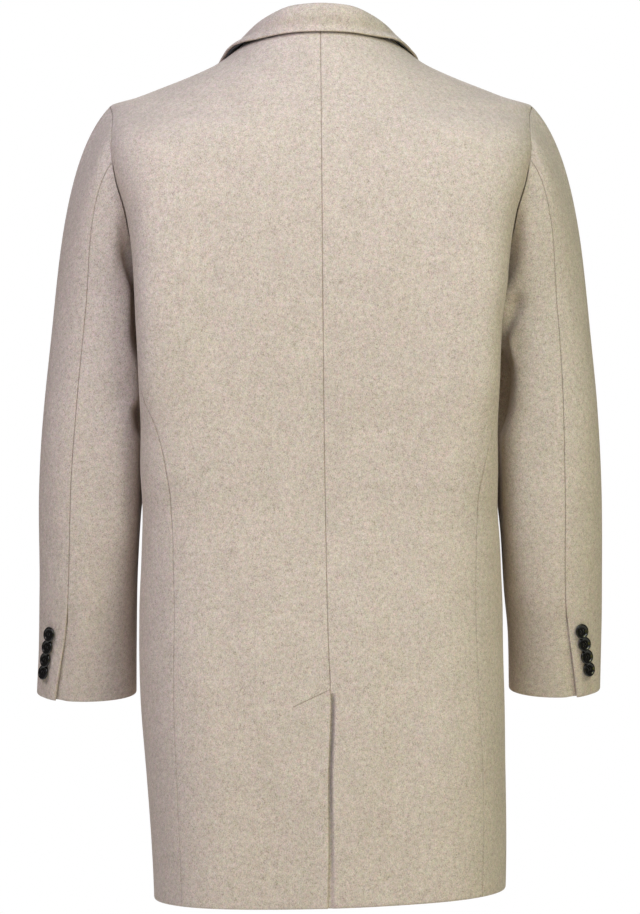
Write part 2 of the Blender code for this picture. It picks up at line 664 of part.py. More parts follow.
def collar_line(name):
    """A line of the collar from its right end round the back to its left end."""
    turn = np.linspace(-180, 180, COLLAR_STEPS + 1)
    other = [row._replace(turn=-row.turn, seam_x=-row.seam_x, fold_x=-row.fold_x,
                          edge_x=-row.edge_x * RIGHT_COLLAR) for row in COLLAR[1:]]
    return np.stack([smooth(COLLAR + tuple(other), name + axis, turn) for axis in ("_x", "_y", "_z")], axis=-1)


def strip_normal(grid):
    """Directions straight out of a gridded surface."""
    along = np.gradient(grid, axis=0)
    across = np.gradient(grid, axis=1)
    return unit(np.cross(along, across))


def stand():
    seam, fold = collar_line("seam"), collar_line("fold")
    ends = np.abs(np.linspace(-1, 1, len(seam))) ** 4
    share = (STAND_SHARE - STAND_ENDS * ends)[:, None] * np.linspace(0, 1, 3)[None, :]
    grid = seam[:, None] + (fold - seam)[:, None] * share[..., None]
    normal = strip_normal(grid)
    normal = normal * np.sign(normal[COLLAR_STEPS // 2, 0, 1])
    return grid, grid - normal * STAND_WALL


def clear_of_body(points, need):
    """Points moved straight out wherever they come closer to the body's form than they need."""
    step = 0.0004
    slope = np.linalg.norm([(fullness(points + shift) - fullness(points - shift)) / (2 * step)
                            for shift in np.eye(3) * step], axis=0)
    away = (fullness(points) - 1) / slope
    return points + body_normal(points) * np.maximum(need - away, 0)[..., None]


def fall_surface():
    fold, edge = collar_line("fold"), collar_line("edge")
    share = np.linspace(0, 1, 7)
    start = fold + np.array([0.0, 0.0, COLLAR_WALL + LAYER_GAP])
    grid = start[:, None] + (edge - start)[:, None] * share[None, :, None]
    flat = strip_normal(grid)
    flat = flat * np.sign(flat[COLLAR_STEPS // 2, 0, 1])
    bulge = np.sin(math.pi * share ** 0.6)
    grid = grid + flat * (FALL_BULGE * bulge)[None, :, None]
    need = COLLAR_WALL + LAYER_GAP + FELT_WALL + FALL_CLEAR
    grid = clear_of_body(grid, need)
    normal = strip_normal(grid)
    return grid, normal * np.sign(normal[COLLAR_STEPS // 2, 0, 1])


def fall():
    grid, normal = fall_surface()
    return grid, grid - normal * COLLAR_WALL


def undercollar():
    grid, normal = fall_surface()
    grid, normal = grid[1:-1, 2:], normal[1:-1, 2:]
    grid = grid.copy()
    grid[:, -1] += (grid[:, -2] - grid[:, -1]) * 0.25
    return (grid - normal * (COLLAR_WALL + LAYER_GAP),
            grid - normal * (COLLAR_WALL + LAYER_GAP + FELT_WALL))


def flap(side):
    share = np.linspace(0, 1, 9)
    down = np.linspace(0, 1, 4)
    turn = np.radians(FLAP_FROM + (FLAP_TO - FLAP_FROM) * share)[None, :]
    z = FLAP_TOP - FLAP_HEIGHT * down[:, None] - FLAP_FALL * (share[None, :] - 1)
    square = smooth(LEVELS, "front_square", z)
    width = smooth(LEVELS, "half_width", z) * np.sin(turn) ** (2 / square)
    grid = body_from_width(side * width, z, -1)
    lift = np.full(grid.shape[:-1], LAYER_GAP + FLAP_WALL)
    return body_wall(grid, lift, FLAP_WALL)


def cloth(name, faces, material, home):
    """One panel as a closed solid between its outer and inner faces."""
    outer, inner = faces
    rows, columns = outer.shape[:2]
    mesh = bmesh.new()
    bmesh.ops.create_grid(mesh, x_segments=columns - 1, y_segments=rows - 1, size=1)
    place = mesh.verts.layers.int.new("place")
    mesh.verts.ensure_lookup_table()
    for index, vertex in enumerate(mesh.verts):
        vertex[place] = index
    made = bmesh.ops.extrude_face_region(mesh, geom=mesh.faces[:])
    second = {item for item in made["geom"] if isinstance(item, bmesh.types.BMVert)}
    outer, inner = outer.reshape(-1, 3), inner.reshape(-1, 3)
    for vertex in mesh.verts:
        vertex.co = inner[vertex[place]] if vertex in second else outer[vertex[place]]
    mesh.verts.layers.int.remove(place)
    bmesh.ops.recalc_face_normals(mesh, faces=mesh.faces[:])
    if mesh.calc_volume(signed=True) < 0:
        bmesh.ops.reverse_faces(mesh, faces=mesh.faces[:])
    data = bpy.data.meshes.new(name)
    mesh.to_mesh(data)
    mesh.free()
    add(name, data, material, home)
    data.shade_smooth()


def add(name, data, material, home):
    piece = bpy.data.objects.new(name, data)
    piece.data.materials.append(material)
    home.objects.link(piece)
    return piece


def button(name, middle, normal, up, width, thick, tilt, steps, material, home):
    """A turned button with its back at middle, facing along normal, tipped by tilt so that its foot stands out."""
    data = bpy.data.meshes.new(name)
    points = [(turn.radius * width / 2, 0.0, turn.height * thick) for turn in BUTTON_PROFILE]
    data.from_pydata(points, [(index, index + 1) for index in range(len(points) - 1)], [])
    piece = add(name, data, material, home)
    turned = piece.modifiers.new("turned", "SCREW")
    turned.steps = steps
    turned.render_steps = steps
    turned.use_merge_vertices = True
    turned.merge_threshold = 0.00001
    turned.use_normal_calculate = True
    turned.use_smooth_shade = True
    up = unit(up - normal * np.dot(up, normal))
    lean = math.radians(tilt)
    axis = normal * math.cos(lean) + up * math.sin(lean)
    rise = up * math.cos(lean) - normal * math.sin(lean)
    aside = np.cross(rise, axis)
    placed = np.eye(4)
    placed[:3, 0], placed[:3, 1], placed[:3, 2], placed[:3, 3] = aside, rise, axis, middle
    piece.matrix_world = Matrix(placed.tolist())


def sleeve_buttons(row, material, home):
    name = "left" if row.side > 0 else "right"
    length = SLEEVE[-1].z - SLEEVE[0].z
    for index in range(SLEEVE_BUTTONS):
        z = row.z - SLEEVE_BUTTON_PITCH * index
        pressed = smooth(SLEEVE, "right_half", z) / smooth(SLEEVE, "half_x", z) if row.side < 0 else 1.0
        turn = np.array(row.first + (row.last - row.first) * index / (SLEEVE_BUTTONS - 1))
        place = np.array(1 + (z - SLEEVE[0].z) / length)
        normal = sleeve_normal(place, turn)
        point = sleeve_point(place, turn)
        up = unit(sleeve_point(place - 0.02, turn) - sleeve_point(place + 0.02, turn))
        from_seam = turn - sleeve_seam(f"back_{name}", z)
        foot = BUTTON_PROFILE[1].radius * SLEEVE_BUTTON / 2 * math.sin(math.radians(SLEEVE_BUTTON_TILT))
        stand_off = cuff_lift(z, from_seam) + SEAM_GAP + foot
        middle = hang(point + normal * stand_off, row.side)
        normal = unit(normal * np.array([row.side / pressed, 1.0, 1.0]))
        up = unit(up * np.array([row.side * pressed, 1.0, 1.0]))
        button(f"sleeve_button_{name}_{index + 1}", middle, normal, up, SLEEVE_BUTTON,
               SLEEVE_BUTTON_THICK, SLEEVE_BUTTON_TILT, 16, material, home)


def front_buttons(material, home):
    for index in range(FRONT_BUTTONS):
        z = FRONT_BUTTON_TOP - FRONT_BUTTON_PITCH * index
        point = body_from_width(np.array(0.0), np.array(z), -1)
        normal = body_normal(point)
        middle = settle(point + normal * (LAYER_GAP + body_fold(point)))
        button(f"front_button_{index + 1}", middle, normal, np.array([0.0, 0.0, 1.0]), FRONT_BUTTON,
               FRONT_BUTTON_THICK, 0.0, 20, material, home)


def material(name, look):
    made = bpy.data.materials.new(name)
    made.use_nodes = True
    shader = made.node_tree.nodes["Principled BSDF"]
    shader.inputs["Base Color"].default_value = (look.red, look.green, look.blue, 1.0)
    shader.inputs["Roughness"].default_value = look.rough
    return made


def build():
    for item in list(bpy.data.objects):
        bpy.data.objects.remove(item, do_unlink=True)
    home = bpy.data.collections.new("short_coat")
    bpy.context.scene.collection.children.link(home)
    for side, name in ((1, "left"), (-1, "right")):
        pieces = (
            ("back_" + name, back_panel(side)),
            ("side_" + name, side_panel(side)),
            ("front_" + name, front_panel(side)),
            ("lapel_" + name, lapel(side)),
            ("top_sleeve_" + name, sleeve_panel(side, True)),
            ("under_sleeve_" + name, sleeve_panel(side, False)),
            ("pocket_flap_" + name, flap(side)),
        )
        for piece, faces in pieces:
            cloth(piece, faces, material(piece + "_wool", WOOL), home)
    for row in BUTTON_ROWS:
        sleeve_buttons(row, material("sleeve_button_horn", HORN), home)
    cloth("collar_stand", stand(), material("stand_wool", WOOL), home)
    cloth("collar_fall", fall(), material("fall_wool", WOOL), home)
    cloth("undercollar", undercollar(), material("felt", FELT), home)
    front_buttons(material("front_buttons", HORN), home)


build()
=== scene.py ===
import math
from collections import namedtuple

import bpy
import numpy as np
from mathutils import Matrix, Vector


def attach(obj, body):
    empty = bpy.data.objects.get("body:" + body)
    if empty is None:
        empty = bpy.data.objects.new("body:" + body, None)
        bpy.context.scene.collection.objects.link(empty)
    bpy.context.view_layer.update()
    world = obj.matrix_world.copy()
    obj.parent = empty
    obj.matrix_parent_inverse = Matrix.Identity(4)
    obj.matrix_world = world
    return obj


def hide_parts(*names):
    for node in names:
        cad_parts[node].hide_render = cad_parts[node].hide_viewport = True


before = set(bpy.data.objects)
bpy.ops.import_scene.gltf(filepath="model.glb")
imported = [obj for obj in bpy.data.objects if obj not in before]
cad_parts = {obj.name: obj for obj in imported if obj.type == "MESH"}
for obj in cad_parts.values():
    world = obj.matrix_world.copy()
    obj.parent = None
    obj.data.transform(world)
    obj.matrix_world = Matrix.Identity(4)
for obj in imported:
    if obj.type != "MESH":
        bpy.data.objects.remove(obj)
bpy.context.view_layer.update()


def table(columns, *rows):
    """Rows of values under named columns."""
    row_of = namedtuple("Row", columns)
    return tuple(row_of(*row) for row in rows)


# Sizes are in metres and turns in degrees: the nape is at height zero, the front faces -Y and the wearer's
# left is +X
ASIDE = np.array((1.0, 0.0, 0.0))
UP = np.array((0.0, 0.0, 1.0))
TINY = 1e-12
WALL = 0.0022
SEAM_GAP = 0.0003
LAYER_GAP = 0.0006
HEM = -0.9270
CHEST = -0.240
UNDERARM = -0.265
SHOULDER_POINT = -0.0775
NECK_POINT = -0.0126
SIDE_WIDTH = 0.170

# How the coat hangs: its hem askew and swayed, and its right side held in beside the arm, with the widths
# and heights over which that eases in and out
HEM_TILT = 0.030
HEM_SWAY = -0.0095
HEM_RISE = 0.0055
SWAY_START = -0.640
RIGHT_IN = 0.0042
RIGHT_HELD = (-0.115, -0.185)
HELD_FROM = (-0.265, -0.320)
HELD_TO = (-0.455, -0.565)

# The back vent: its top, the underlap, the edge that stands out, the slot beside it, which is shallower
# towards the hem, and the tack that holds its top
VENT_TOP = -0.6985
VENT_SLANT = 0.018
VENT_EASE = 0.012
VENT_EDGE = (-0.004, 0.002)
UNDERLAP = 0.040
UNDERLAP_STEPS = 7
UNDERLAP_LEAST = 0.00001
VENT_STAND = 0.0010
VENT_STAND_WIDTH = 0.016
VENT_STAND_EASE = 0.030
VENT_DEPTH = 0.0032
VENT_SLOT = (-0.0058, -0.0016)
VENT_WIDER = 0.0012
VENT_SHALLOW = 0.42
VENT_UNDER = 0.0050
VENT_OPENS = (-0.915, -0.790)
SLOT_SHARES = (0.2, 0.4, 0.6, 0.8)
VENT_TACK = ((-0.0083, -0.6987), (0.0303, -0.7164))
TACK_PITCH = 0.0030
TACK_SHARE = 0.78

# The fronts and their lapels
FRONT_LAP = 0.035
FRONT_SINK = (0.050, 0.014)
BREAK = -0.345
GORGE = -0.062
LAPEL_WALL = 0.0024
LAPEL_LENGTH = 0.30
LAPEL_WIDTH = 0.085
LAPEL_TIP = (0.150, -0.108)
LAPEL_FULLNESS = 0.007
LAPEL_ROLL = 0.0030
LAPEL_ROLL_REACH = 0.22
LAPEL_TURNED = 150.0
LAPEL_TURN_STEPS = 14
LAPEL_END = 0.006
LAPEL_SHOWS = 0.26
LAPEL_CLEAR = 0.004

# The collar: its walls, the felt under its fall, and how finely it is divided
COLLAR_WALL = 0.0026
STAND_WALL = 0.0020
STAND_FULLER = 1.2
FELT_WALL = 0.0012
FELT_GAP = 0.0002
FELT_START = 0.006
FELT_ENDS = 3
FELT_SHORT = 5
FALL_CLEAR = 0.0010
FALL_ROWS = 9
COLLAR_CELLS = 34
COLLAR_STEPS = 120
COLLAR_TURNS = np.linspace(-180, 180, COLLAR_STEPS + 1)
OUTWARD_COLUMN = -4

# The sleeves: their cuff vents, how the cap leaves the armhole, and the widths of the top and under sleeve
CUFF_VENT_TOP = -0.632
CUFF_VENT_EASE = 0.012
RIGHT_SLEEVE_RISE = 0.0045
CUFF_LAP = 17.0
CUFF_LIFT = 0.0022
CUFF_EASE = 0.055
CUFF_TURN = 26.0
CUFF_SINK = (0.030, -0.002)
CUFF_SINK_TURN = (4.0, 16.0)
CAP_SPREAD = 0.42
CAP_ROUND = 0.27
CAP_FALL = 0.30
CAP_ONWARD = 0.02
CAP_LENGTH = 0.190
CAP_BEND = 0.006
CAP_BEND_SHARE = (0.1, 0.5)
CAP_FOLD_SHARE = (0.0, 0.45)
SLEEVE_START = 0.0004
SLEEVE_CLEAR = 0.0010
TOP_SLEEVE_WIDTH = 0.205
UNDER_SLEEVE_WIDTH = 0.165
SLEEVE_ROUND = 0.060
FOLD_RUN = 0.1

# The pocket flaps
FLAP_WALL = 0.0024
FLAP_TOP = -0.548
FLAP_HEIGHT = 0.058
FLAP_WIDTH = 0.150
FLAP_FROM = 24.0
FLAP_TO = 79.0
FLAP_FALL = 0.010
FLAP_CORNER = 0.012
# How much painted shade the flap's sewn edge gets, as a share of a seam's
FLAP_SEAM_SHADE = 0.3

# The body's cross-section at each height: half of its width, its depth to the back and to the front,
# how square the back and front corners are, and how far the hanging arm presses the side in
LEVELS = table(
    "z half_width back front back_square front_square press",
    (0.0120, 0.0540, 0.066, 0.048, 2.0, 2.0, 0.000),
    (0.0000, 0.0670, 0.075, 0.052, 2.0, 2.0, 0.000),
    (-0.0126, 0.0830, 0.083, 0.055, 2.0, 2.0, 0.000),
    (-0.0335, 0.1105, 0.094, 0.061, 1.80, 1.85, 0.000),
    (-0.0465, 0.1380, 0.101, 0.065, 1.65, 1.70, 0.000),
    (-0.0595, 0.1712, 0.107, 0.070, 1.50, 1.55, 0.000),
    (-0.0700, 0.1990, 0.112, 0.075, 1.38, 1.45, 0.000),
    (-0.0775, 0.2247, 0.115, 0.078, 1.36, 1.42, 0.000),
    (-0.0805, 0.2292, 0.1165, 0.0795, 1.46, 1.48, 0.000),
    (-0.1200, 0.2290, 0.128, 0.098, 3.7, 2.2, 0.000),
    (-0.1600, 0.2200, 0.136, 0.113, 5.2, 2.4, 0.000),
    (-0.2000, 0.2065, 0.140, 0.125, 6.6, 2.4, 0.005),
    (-0.2500, 0.1985, 0.141, 0.134, 8.2, 2.5, 0.026),
    (-0.3000, 0.1945, 0.139, 0.139, 10.5, 2.5, 0.027),
    (-0.3600, 0.1915, 0.134, 0.140, 10.8, 2.5, 0.019),
    (-0.4200, 0.1910, 0.128, 0.138, 7.0, 2.5, 0.012),
    (-0.4700, 0.1925, 0.125, 0.136, 5.4, 2.5, 0.003),
    (-0.5150, 0.1910, 0.123, 0.135, 4.2, 2.5, 0.001),
    (-0.5600, 0.1920, 0.126, 0.136, 3.6, 2.5, 0.000),
    (-0.6200, 0.1945, 0.131, 0.139, 3.2, 2.5, 0.000),
    (-0.7000, 0.1950, 0.136, 0.140, 3.1, 2.5, 0.000),
    (-0.8000, 0.1920, 0.139, 0.141, 3.1, 2.5, 0.000),
    (-0.9500, 0.1875, 0.138, 0.140, 3.1, 2.5, 0.000),
)
PRESS_FRONT = (-0.105, -0.065)
PRESS_BACK = (0.020, 0.068)

# Where the seams run: the side seams and the armhole as depth at each height, the centre back as width
CENTRE_BACK = table(
    "z place",
    (0.000, 0.0005), (-0.180, -0.0010), (-0.400, -0.0030), (-0.610, -0.0065),
    (-0.700, -0.0088), (-0.800, -0.0020), (-0.925, 0.0024),
)
SIDE_BACK = table(
    "z left right",
    (-0.240, 0.0460, 0.0460), (-0.320, 0.0780, 0.0720), (-0.396, 0.1107, 0.0950),
    (-0.428, 0.1150, 0.1016), (-0.447, 0.1150, 0.1051), (-0.468, 0.1138, 0.1061),
    (-0.489, 0.1112, 0.1050), (-0.522, 0.1064, 0.1009), (-0.565, 0.1057, 0.1004),
    (-0.648, 0.1080, 0.1015), (-0.764, 0.1097, 0.1035), (-0.925, 0.1070, 0.1035),
)
SIDE_FRONT = table("z place", (-0.240, -0.052), (-0.360, -0.060), (-0.500, -0.068), (-0.925, -0.078))
ARMHOLE_BACK = table(
    "z place",
    (-0.0775, 0.000), (-0.080, 0.0080), (-0.085, 0.0170), (-0.095, 0.036), (-0.105, 0.053),
    (-0.120, 0.071), (-0.150, 0.080), (-0.180, 0.081), (-0.210, 0.071), (-0.240, 0.046),
)
ARMHOLE_FRONT = table(
    "z place",
    (-0.0775, 0.000), (-0.080, -0.0075), (-0.085, -0.0141), (-0.095, -0.025),
    (-0.120, -0.045), (-0.150, -0.059), (-0.180, -0.066), (-0.210, -0.063), (-0.240, -0.052),
)
ARMHOLE_STEPS = 400
UNDERARM_STEPS = 120

# The painted shade line of a side seam shows less low down: by how much, over which heights, and how wide it
# is
FAINT_SHARE = 0.62
FAINT_HEIGHTS = (-0.560, -0.490)
FAINT_WIDTH = 0.004

# Soft folds of the body: where each lies round the body in degrees from the centre back towards the wearer's
# left, its height, how long and wide it is, and how far it stands out
BODY_FOLDS = table(
    "turn z length width height",
    (-52.0, -0.800, 0.150, 11.0, 0.0035),
    (-28.0, -0.860, 0.120, 12.0, -0.0025),
    (48.0, -0.850, 0.130, 12.0, 0.0030),
    (24.0, -0.840, 0.110, 12.0, -0.0020),
    (140.0, -0.820, 0.140, 14.0, 0.0030),
    (-142.0, -0.840, 0.140, 14.0, -0.0030),
    (62.0, -0.330, 0.080, 12.0, 0.0020),
    (-62.0, -0.350, 0.080, 12.0, 0.0020),
)

# The hanging sleeve's cross-section at each height: its middle, its half sizes and how far its plane leans
SLEEVE = table(
    "z middle_x middle_y half_x half_y lean right_x right_half",
    (-0.300, 0.2298, -0.012, 0.0580, 0.0760, 0.00, 0.2298, 0.0580),
    (-0.400, 0.2402, -0.010, 0.0572, 0.0700, 0.02, 0.2396, 0.0572),
    (-0.500, 0.2487, -0.014, 0.0553, 0.0650, 0.05, 0.2472, 0.0553),
    (-0.600, 0.2515, -0.027, 0.0528, 0.0590, 0.12, 0.2506, 0.0531),
    (-0.655, 0.2527, -0.038, 0.0530, 0.0535, 0.15, 0.2532, 0.0506),
    (-0.712, 0.2546, -0.050, 0.0542, 0.0470, 0.17, 0.2537, 0.0496),
)

# The sleeve's seams in degrees round it, from the outside towards the back
SLEEVE_SEAMS = table(
    "z back_left back_right front",
    (-0.0775, 70.0, 68.0, 232.0),
    (-0.300, 70.0, 69.0, 235.0),
    (-0.500, 71.0, 77.0, 238.0),
    (-0.600, 69.0, 79.0, 238.0),
    (-0.712, 54.5, 64.0, 236.0),
)

# Soft folds of the sleeves: the sleeve, degrees round it, height, length, width in degrees, height and slope
SLEEVE_FOLDS = table(
    "side turn z length width height slope",
    (1, 126.0, -0.232, 0.028, 22.0, -0.0030, 120.0),
    (1, 112.0, -0.395, 0.026, 34.0, -0.0012, 200.0),
    (1, 40.0, -0.420, 0.060, 30.0, 0.0025, 0.0),
    (1, 285.0, -0.430, 0.024, 40.0, -0.0050, -160.0),
    (1, 196.0, -0.478, 0.024, 34.0, 0.0028, 0.0),
    (-1, 105.0, -0.410, 0.026, 34.0, -0.0010, -180.0),
    (-1, 45.0, -0.400, 0.060, 30.0, 0.0025, 0.0),
    (-1, 280.0, -0.410, 0.024, 40.0, -0.0050, 160.0),
    (-1, 196.0, -0.500, 0.030, 34.0, 0.0026, 0.0),
)

# How far in the back half of each sleeve's inner side reaches at each height, the round of its corner,
# how far back and down the cap it begins, and how square the inner back corner is
PRESSED = table(
    "z left right",
    (-0.060, 0.0500, 0.0500), (-0.195, 0.1500, 0.1500), (-0.215, 0.2040, 0.2065),
    (-0.250, 0.2005, 0.2015), (-0.275, 0.1985, 0.1905), (-0.296, 0.2005, 0.1870),
    (-0.325, 0.2010, 0.1885), (-0.345, 0.1975, 0.1985), (-0.360, 0.1915, 0.2035),
    (-0.378, 0.1885, 0.2040), (-0.392, 0.1900, 0.2025), (-0.408, 0.1990, 0.2005),
    (-0.425, 0.1970, 0.1955), (-0.440, 0.1910, 0.1905), (-0.465, 0.1900, 0.1900),
    (-0.492, 0.1870, 0.1890), (-0.520, 0.1820, 0.1860), (-0.570, 0.1690, 0.1700),
    (-0.760, 0.1500, 0.1500),
)
PRESSED_ROUND = {1: 0.0070, -1: 0.0080}
PRESSED_BEHIND = (-0.016, 0.004)
PRESSED_BELOW = (0.1, 0.6)
CORNER = table(
    "z place",
    (-0.270, 0.03), (-0.310, 0.09), (-0.360, 0.14), (-0.450, 0.18), (-0.520, 0.17),
    (-0.580, 0.08), (-0.640, 0.02), (-0.720, 0.0),
)
CORNER_TURN = 136.0
CORNER_WIDTH = 25.0

# The collar round the neck, from the centre back to the end on the front: seam, fold and outer edge
COLLAR = table(
    "turn seam_x seam_y seam_z fold_x fold_y fold_z edge_x edge_y edge_z",
    (0.0, 0.0000, 0.0750, 0.0007, 0.0000, 0.0800, 0.0205, 0.0000, 0.0880, -0.0055),
    (20.0, 0.0284, 0.0690, -0.0005, 0.0275, 0.0735, 0.0190, 0.0350, 0.0810, -0.0060),
    (45.0, 0.0587, 0.0478, -0.0040, 0.0532, 0.0515, 0.0105, 0.0705, 0.0570, -0.0115),
    (70.0, 0.0780, 0.0220, -0.0084, 0.0698, 0.0235, 0.0000, 0.0920, 0.0270, -0.0200),
    (90.0, 0.0830, 0.0000, -0.0104, 0.0754, -0.0020, -0.0055, 0.1065, -0.0030, -0.0285),
    (115.0, 0.0804, -0.0300, -0.0178, 0.0756, -0.0318, -0.0130, 0.1195, -0.0345, -0.0400),
    (140.0, 0.0733, -0.0528, -0.0388, 0.0720, -0.0552, -0.0345, 0.1290, -0.0510, -0.0550),
    (160.0, 0.0690, -0.0618, -0.0508, 0.0685, -0.0645, -0.0475, 0.1310, -0.0655, -0.0715),
    (180.0, 0.0662, -0.0665, -0.0588, 0.0660, -0.0695, -0.0565, 0.1170, -0.0800, -0.0860),
)
RIGHT_EDGE = 0.935

# The collar's fall: how it flares on its way down, how far its edge rests off the body round the neck,
# how much of the fall that pulls and how far round, and how far the edge rises at the centre back
FALL_FLARE = (
    (0.0, 0.12, 0.30, 0.50, 0.70, 0.86, 1.0),
    (0.0, 0.0026, 0.0030, 0.0010, -0.0010, -0.0008, 0.0004),
)
FALL_RESTS = (
    (-180.0, -108.0, -96.0, -82.0, -74.0, -64.0, -54.0, -44.0, -34.0,
     34.0, 46.0, 58.0, 70.0, 80.0, 88.0, 96.0, 108.0, 180.0),
    (0.0060, 0.0050, 0.0034, 0.0036, 0.0052, 0.0070, 0.0068, 0.0044, 0.0031,
     0.0031, 0.0042, 0.0070, 0.0082, 0.0066, 0.0042, 0.0034, 0.0050, 0.0060),
)
FALL_PULLED = (0.45, 1.0)
FALL_PULL_ENDS = (100.0, 125.0)
FALL_RAISE = 0.0017
FALL_RAISE_ENDS = (25.0, 70.0)

# Creases: on the back (1) or front (-1) of the body from one width and height to another, or on the left (1)
# or right (-1) sleeve from one turn and height to another; each has a depth, a half width and how softly
# it begins
BODY_CREASES = table(
    "way from_across from_z to_across to_z depth width fade",
    (1, 0.105, -0.600, 0.085, -0.790, 0.0020, 0.020, 0.35),
    (1, -0.075, -0.500, -0.082, -0.800, 0.0022, 0.022, 0.35),
    (1, -0.110, -0.190, -0.100, -0.330, 0.0018, 0.020, 0.35),
    (1, 0.125, -0.230, 0.110, -0.380, 0.0018, 0.020, 0.35),
    (-1, 0.100, -0.600, 0.085, -0.840, 0.0016, 0.022, 0.35),
    (-1, -0.105, -0.560, -0.090, -0.800, 0.0018, 0.020, 0.35),
    (-1, 0.130, -0.210, 0.090, -0.330, 0.0014, 0.020, 0.35),
    (-1, -0.135, -0.200, -0.080, -0.345, 0.0016, 0.020, 0.35),
)
SLEEVE_CREASES = table(
    "way from_across from_z to_across to_z depth width fade",
    (1, 122.0, -0.208, 142.0, -0.285, 0.0065, 0.012, 0.14),
    (1, 140.0, -0.370, 95.0, -0.415, 0.0012, 0.015, 0.35),
    (1, 300.0, -0.395, 255.0, -0.440, 0.0020, 0.012, 0.35),
    (-1, 111.0, -0.288, 148.0, -0.352, 0.0075, 0.0085, 0.16),
    (-1, 116.0, -0.330, 132.0, -0.430, 0.0024, 0.013, 0.12),
    (-1, 130.0, -0.400, 100.0, -0.430, 0.0010, 0.014, 0.35),
    (-1, 300.0, -0.390, 258.0, -0.430, 0.0020, 0.012, 0.35),
)
CREASE_BEGINS = 0.86
CREASE_ENDS = (0.62, 1.35)
CREASE_RIDGE = 0.45
CREASE_RIDGE_AT = 1.7
CREASE_RIDGE_WIDTH = 1.25

# How finely the cloth is divided: the usual cell, the steps next to an edge, the plans of back and front,
# and the small steps that directions are measured over
CELL = 0.0050
EDGE_STEPS = (0.0, 0.0003, 0.0007, 0.0012, 0.0019, 0.0030)
PLAN_STEPS = 90
PLAN_BEND = 1.2
PLAN_RISE = 1.9
BACK_CELLS = (44, 46)
FRONT_CELLS = (46, 44)
RIDGE_STEPS = 800
RIDGE_SHARE = 0.97
NECK_SHARE = 0.42
NECK_DIP = 2.2
FORM_STEP = 0.0004
SLEEVE_STEP = 0.004
SLEEVE_TURN_STEP = 0.6

# How edges are finished: sewn ones rounded, pressed shut and lined with painted shade, folded ones rounded
# both ways, hems turned up
SEAM_ROUND = 0.0011
SEAM_PRESS = 0.00005
SEAM_SHADE_WIDTH = 0.0010
FOLDED_REACH = 0.62
FOLDED_PINCH = 0.44
HEM_TURN = 0.040
HEM_LAYER = 0.0016
HEM_STEP = 0.002
CUFF_STEP = 0.006

# What is added to a panel where it is cut
SEAM_ALLOWANCE = 0.012
HEM_ALLOWANCE = 0.04
SMALL_ALLOWANCE = 0.006

# The rows of cuff buttons: degrees round the sleeve of the first and last one, and the height of the first
BUTTON_ROWS = table("side first last z", (1, 45.0, 35.5, -0.6407), (-1, 60.5, 48.5, -0.6398))
SLEEVE_BUTTON = 0.0162
SLEEVE_BUTTON_THICK = 0.0026
SLEEVE_BUTTON_TILT = 13.0
SLEEVE_BUTTON_PITCH = 0.0142
SLEEVE_BUTTONS = 4
BUTTON_UP_STEP = 0.02
FRONT_BUTTON = 0.0240
FRONT_BUTTON_THICK = 0.0036
FRONT_BUTTON_TOP = -0.362
FRONT_BUTTON_PITCH = 0.115
FRONT_BUTTONS = 3

# Buttons as they are turned, in shares of half the width and of the thickness, with their foot and dish,
# and their holes in shares of the width
BUTTON_TURNING = table(
    "radius height",
    (0.80, 0.00), (0.90, 0.05), (0.97, 0.20), (1.00, 0.42), (0.99, 0.68), (0.95, 0.88),
    (0.89, 0.98), (0.82, 1.00), (0.76, 0.95), (0.70, 0.82), (0.64, 0.70), (0.56, 0.64),
    (0.10, 0.60),
)
BUTTON_FOOT = 0.86
BUTTON_DISH = 0.61
BUTTON_HOLE = 0.058
BUTTON_HOLE_AT = 0.105
BUTTON_SIDES = 48
HOLE_SIDES = 14
SHARP_EDGE = 38.0

# Threads: their radii, the strands through a button's holes, and the rise of a stitch along its way
BUTTON_THREAD = 0.00028
BUTTON_STRANDS = (-0.22, 0.22)
STRAND_STEPS = 7
STRAND_REACH = 1.05
STRAND_ARCH = 0.00035
STRAND_DIP = 0.0028
STRAND_DIP_FROM = 0.75
SHANK = (-0.0001, -0.0012, -0.0024)
HOLE_THREAD = 0.00030
HOLE_STITCH = ((0.0001, -0.0002), (0.0004, 0.0003), (0.0012, 0.0004), (0.0021, 0.0002), (0.0025, -0.0003))
BUTTONHOLE = 0.030
BUTTONHOLE_START = 0.004
BUTTONHOLE_STITCHES = 46
TACK_THREAD = 0.00020
TACK_STITCH = ((0.02, -0.0007), (0.2, 0.00002), (0.5, 0.00012), (0.8, 0.00002), (0.98, -0.0007))
STITCH_SIDES = 5
THREAD_SIDES = 6
THREAD_END = 0.25
THREAD_ACROSS = np.array((0.31, 0.17, 0.93))

# The wool's strands, how much its flecks and strands count in its colour and in its nap, and how much of
# its clumps, its warmer places, the painted shade along its seams and the groove at the tack shows
WOOL_STRANDS = (1900.0, 1900.0, 520.0)
STRAND_LEANS = (24.0, -52.0)
WOOL_GRAIN = (0.46, 0.26, 0.26)
WOOL_NAP = (0.5, 0.3, 0.3)
GRAIN_SHIFT = 0.09
CLUMP_SHARE = 0.20
WARM_SHARE = 0.35
SEAM_SHADE_SHOWS = 0.62
GROOVE_DEPTH = 1.4
FELT_GRAIN = (0.7, 0.3)

